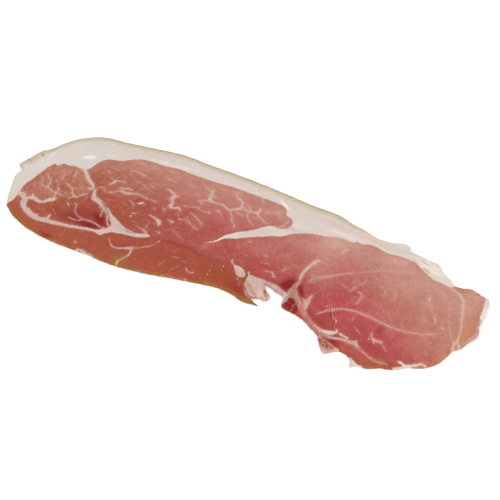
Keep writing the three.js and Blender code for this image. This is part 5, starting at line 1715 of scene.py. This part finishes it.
@dataclass
class CureCrystals:
    """The crystals and crumbs that stand on the upper face, as one scattered piece."""

    sheet: bpy.types.Object
    sunk: float = 0.35
    flatness: float = 0.6
    lumpiness: float = 0.16
    rings: int = 5
    spokes: int = 8

    def build(self, finish: bpy.types.Material) -> bpy.types.Object:
        """Makes all of them.

        Args:
            finish: Their material.

        Returns:
            The object, at the origin, its place in its mesh.
        """
        sheet = self.sheet.data
        face = BVHTree.FromPolygons(
            [v.co / MM for v in sheet.vertices], [tuple(p.vertices) for p in sheet.polygons]
        )
        vertices: list[Vector] = []
        faces: list[tuple[int, ...]] = []
        for x, y, radius in self._spots():
            spot, normal, _, _ = face.ray_cast(Vector((x, y, FAR)), Vector((0, 0, -1)))
            turn = normal.to_track_quat("Z", "Y")
            shape, skin = self._crumb(radius, wave(x, y, 3.0, 11.0))
            faces.extend(tuple(len(vertices) + k for k in corner) for corner in skin)
            lift = normal * radius * self.flatness * (1 - 2 * self.sunk)
            vertices.extend((spot + lift + turn @ corner) * MM for corner in shape)
        mesh = bpy.data.meshes.new("cure_crystals")
        mesh.from_pydata(vertices, [], faces)
        mesh.shade_smooth()
        mesh.materials.append(finish)
        return show("cure_crystals", mesh)

    @staticmethod
    def _spots() -> Iterable[Strand]:
        """Places and radii of the single crystals and of those in rows."""
        yield from SPECKS
        for row in SPECK_ROWS:
            for x, y in smooth_line(row.points, row.spacing):
                aside = 0.3 * wave(x, y, 0.8, 13.0)
                yield x + aside, y - aside, row.radius * (1 + 0.5 * wave(x, y, 0.7, 17.0))

    def _crumb(self, radius: float, turn: float) -> tuple[list[Vector], list[tuple[int, ...]]]:
        """A flattened, slightly lumpy ball, and its faces."""
        shape = [Vector((0, 0, radius * self.flatness))]
        for ring in range(1, self.rings):
            polar = math.pi * ring / self.rings
            for spoke in range(self.spokes):
                around = 2 * math.pi * spoke / self.spokes + turn
                reach = radius * (1 + self.lumpiness * math.sin(3 * around + 5 * turn + ring))
                shape.append(Vector((
                    reach * math.sin(polar) * math.cos(around),
                    reach * math.sin(polar) * math.sin(around),
                    radius * self.flatness * math.cos(polar),
                )))
        shape.append(Vector((0, 0, -radius * self.flatness)))
        last = len(shape) - 1
        skin: list[tuple[int, ...]] = []
        for spoke in range(self.spokes):
            following = (spoke + 1) % self.spokes
            skin.append((0, 1 + spoke, 1 + following))
            for ring in range(self.rings - 2):
                upper, lower = 1 + ring * self.spokes, 1 + (ring + 1) * self.spokes
                skin.append((upper + spoke, lower + spoke, lower + following, upper + following))
            foot = 1 + (self.rings - 2) * self.spokes
            skin.append((foot + spoke, last, foot + following))
        return shape, skin


# ---- Stage ---------------------------------------------------------------------------------


@dataclass(frozen=True)
class Studio:
    """A pale floor, soft light and the camera, in metres and degrees."""

    target: tuple[float, float, float] = (0.0104, -0.0007, 0.0)
    distance: float = 0.626
    azimuth: float = 30.25
    elevation: float = 42.0
    lens: float = 85.0
    sensor: float = 36.0
    floor_size: float = 6.0
    floor_drop: float = 0.00002
    sky_strength: float = 0.85
    sun_energy: float = 0.7
    sun_spread: float = 45.0
    sun_place: tuple[float, float, float] = (0.5, -0.75, 1.3)
    lamp_energy: float = 1.3
    lamp_size: float = 0.5
    lamp_place: tuple[float, float, float] = (0.45, -0.35, 0.55)

    def build(self) -> None:
        """Makes all of it."""
        scene = bpy.context.scene
        scene.view_settings.view_transform = "Standard"
        scene.view_settings.look = "None"
        self._floor()
        self._lights(scene)
        self._camera(scene)

    def _floor(self) -> None:
        """A plain pale floor that the slice lies on."""
        half = self.floor_size / 2
        mesh = bpy.data.meshes.new("floor")
        corners = [(-half, -half, 0), (half, -half, 0), (half, half, 0), (-half, half, 0)]
        mesh.from_pydata(corners, [], [(0, 1, 2, 3)])
        paint = bpy.data.materials.new("pale_floor")
        paint.use_nodes = True
        shader = paint.node_tree.nodes["Principled BSDF"]
        shader.inputs["Base Color"].default_value = srgb(250, 250, 250)
        shader.inputs["Roughness"].default_value = 0.9
        shader.inputs["Specular IOR Level"].default_value = 0.1
        mesh.materials.append(paint)
        floor = show("floor", mesh)
        floor.location.z = -self.floor_drop

    def _lights(self, scene: bpy.types.Scene) -> None:
        """A bright even sky, a broad soft sun from the front and a low lamp at the right."""
        world = bpy.data.worlds.new("studio")
        world.use_nodes = True
        sky = world.node_tree.nodes["Background"]
        sky.inputs["Color"].default_value = (1.0, 1.0, 1.0, 1.0)
        sky.inputs["Strength"].default_value = self.sky_strength
        scene.world = world
        sun = bpy.data.lights.new("sun", "SUN")
        sun.energy = self.sun_energy
        sun.angle = math.radians(self.sun_spread)
        self._place("sun", sun, self.sun_place)
        lamp = bpy.data.lights.new("lamp", "AREA")
        lamp.size = self.lamp_size
        lamp.energy = self.lamp_energy
        self._place("lamp", lamp, self.lamp_place)

    @staticmethod
    def _place(name: str, light: bpy.types.Light, place: tuple[float, float, float]) -> None:
        """Puts a light in its place, facing the slice."""
        lamp = show(name, light)
        lamp.location = place
        lamp.rotation_euler = Vector(place).to_track_quat("Z", "Y").to_euler()

    def _camera(self, scene: bpy.types.Scene) -> None:
        """The camera, at the photograph's angle."""
        turn, rise = math.radians(self.azimuth), math.radians(self.elevation)
        back = Vector((
            math.sin(turn) * math.cos(rise), -math.cos(turn) * math.cos(rise), math.sin(rise),
        ))
        data = bpy.data.cameras.new("camera")
        data.lens = self.lens
        data.sensor_width = self.sensor
        camera = show("camera", data)
        camera.location = Vector(self.target) + back * self.distance
        camera.rotation_euler = back.to_track_quat("Z", "Y").to_euler()
        scene.camera = camera


# ---- Making --------------------------------------------------------------------------------


def main() -> None:
    """Builds the stage, the slice and the crystals on it."""
    logging.basicConfig(level=logging.INFO, format="%(message)s")
    Studio().build()
    effects = Effects()
    solid = PackedSolid(NODE)
    sheet = SliceSheet(solid).build(CuredMeat().material(effects))
    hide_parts(NODE)
    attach(sheet, BODY)
    crystals = CureCrystals(sheet).build(Crystal().material(effects))
    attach(crystals, BODY)
    for piece in (sheet, crystals):
        LOG.info("%s: %d faces", piece.name, len(piece.data.polygons))


if __name__ == "__main__":
    main()
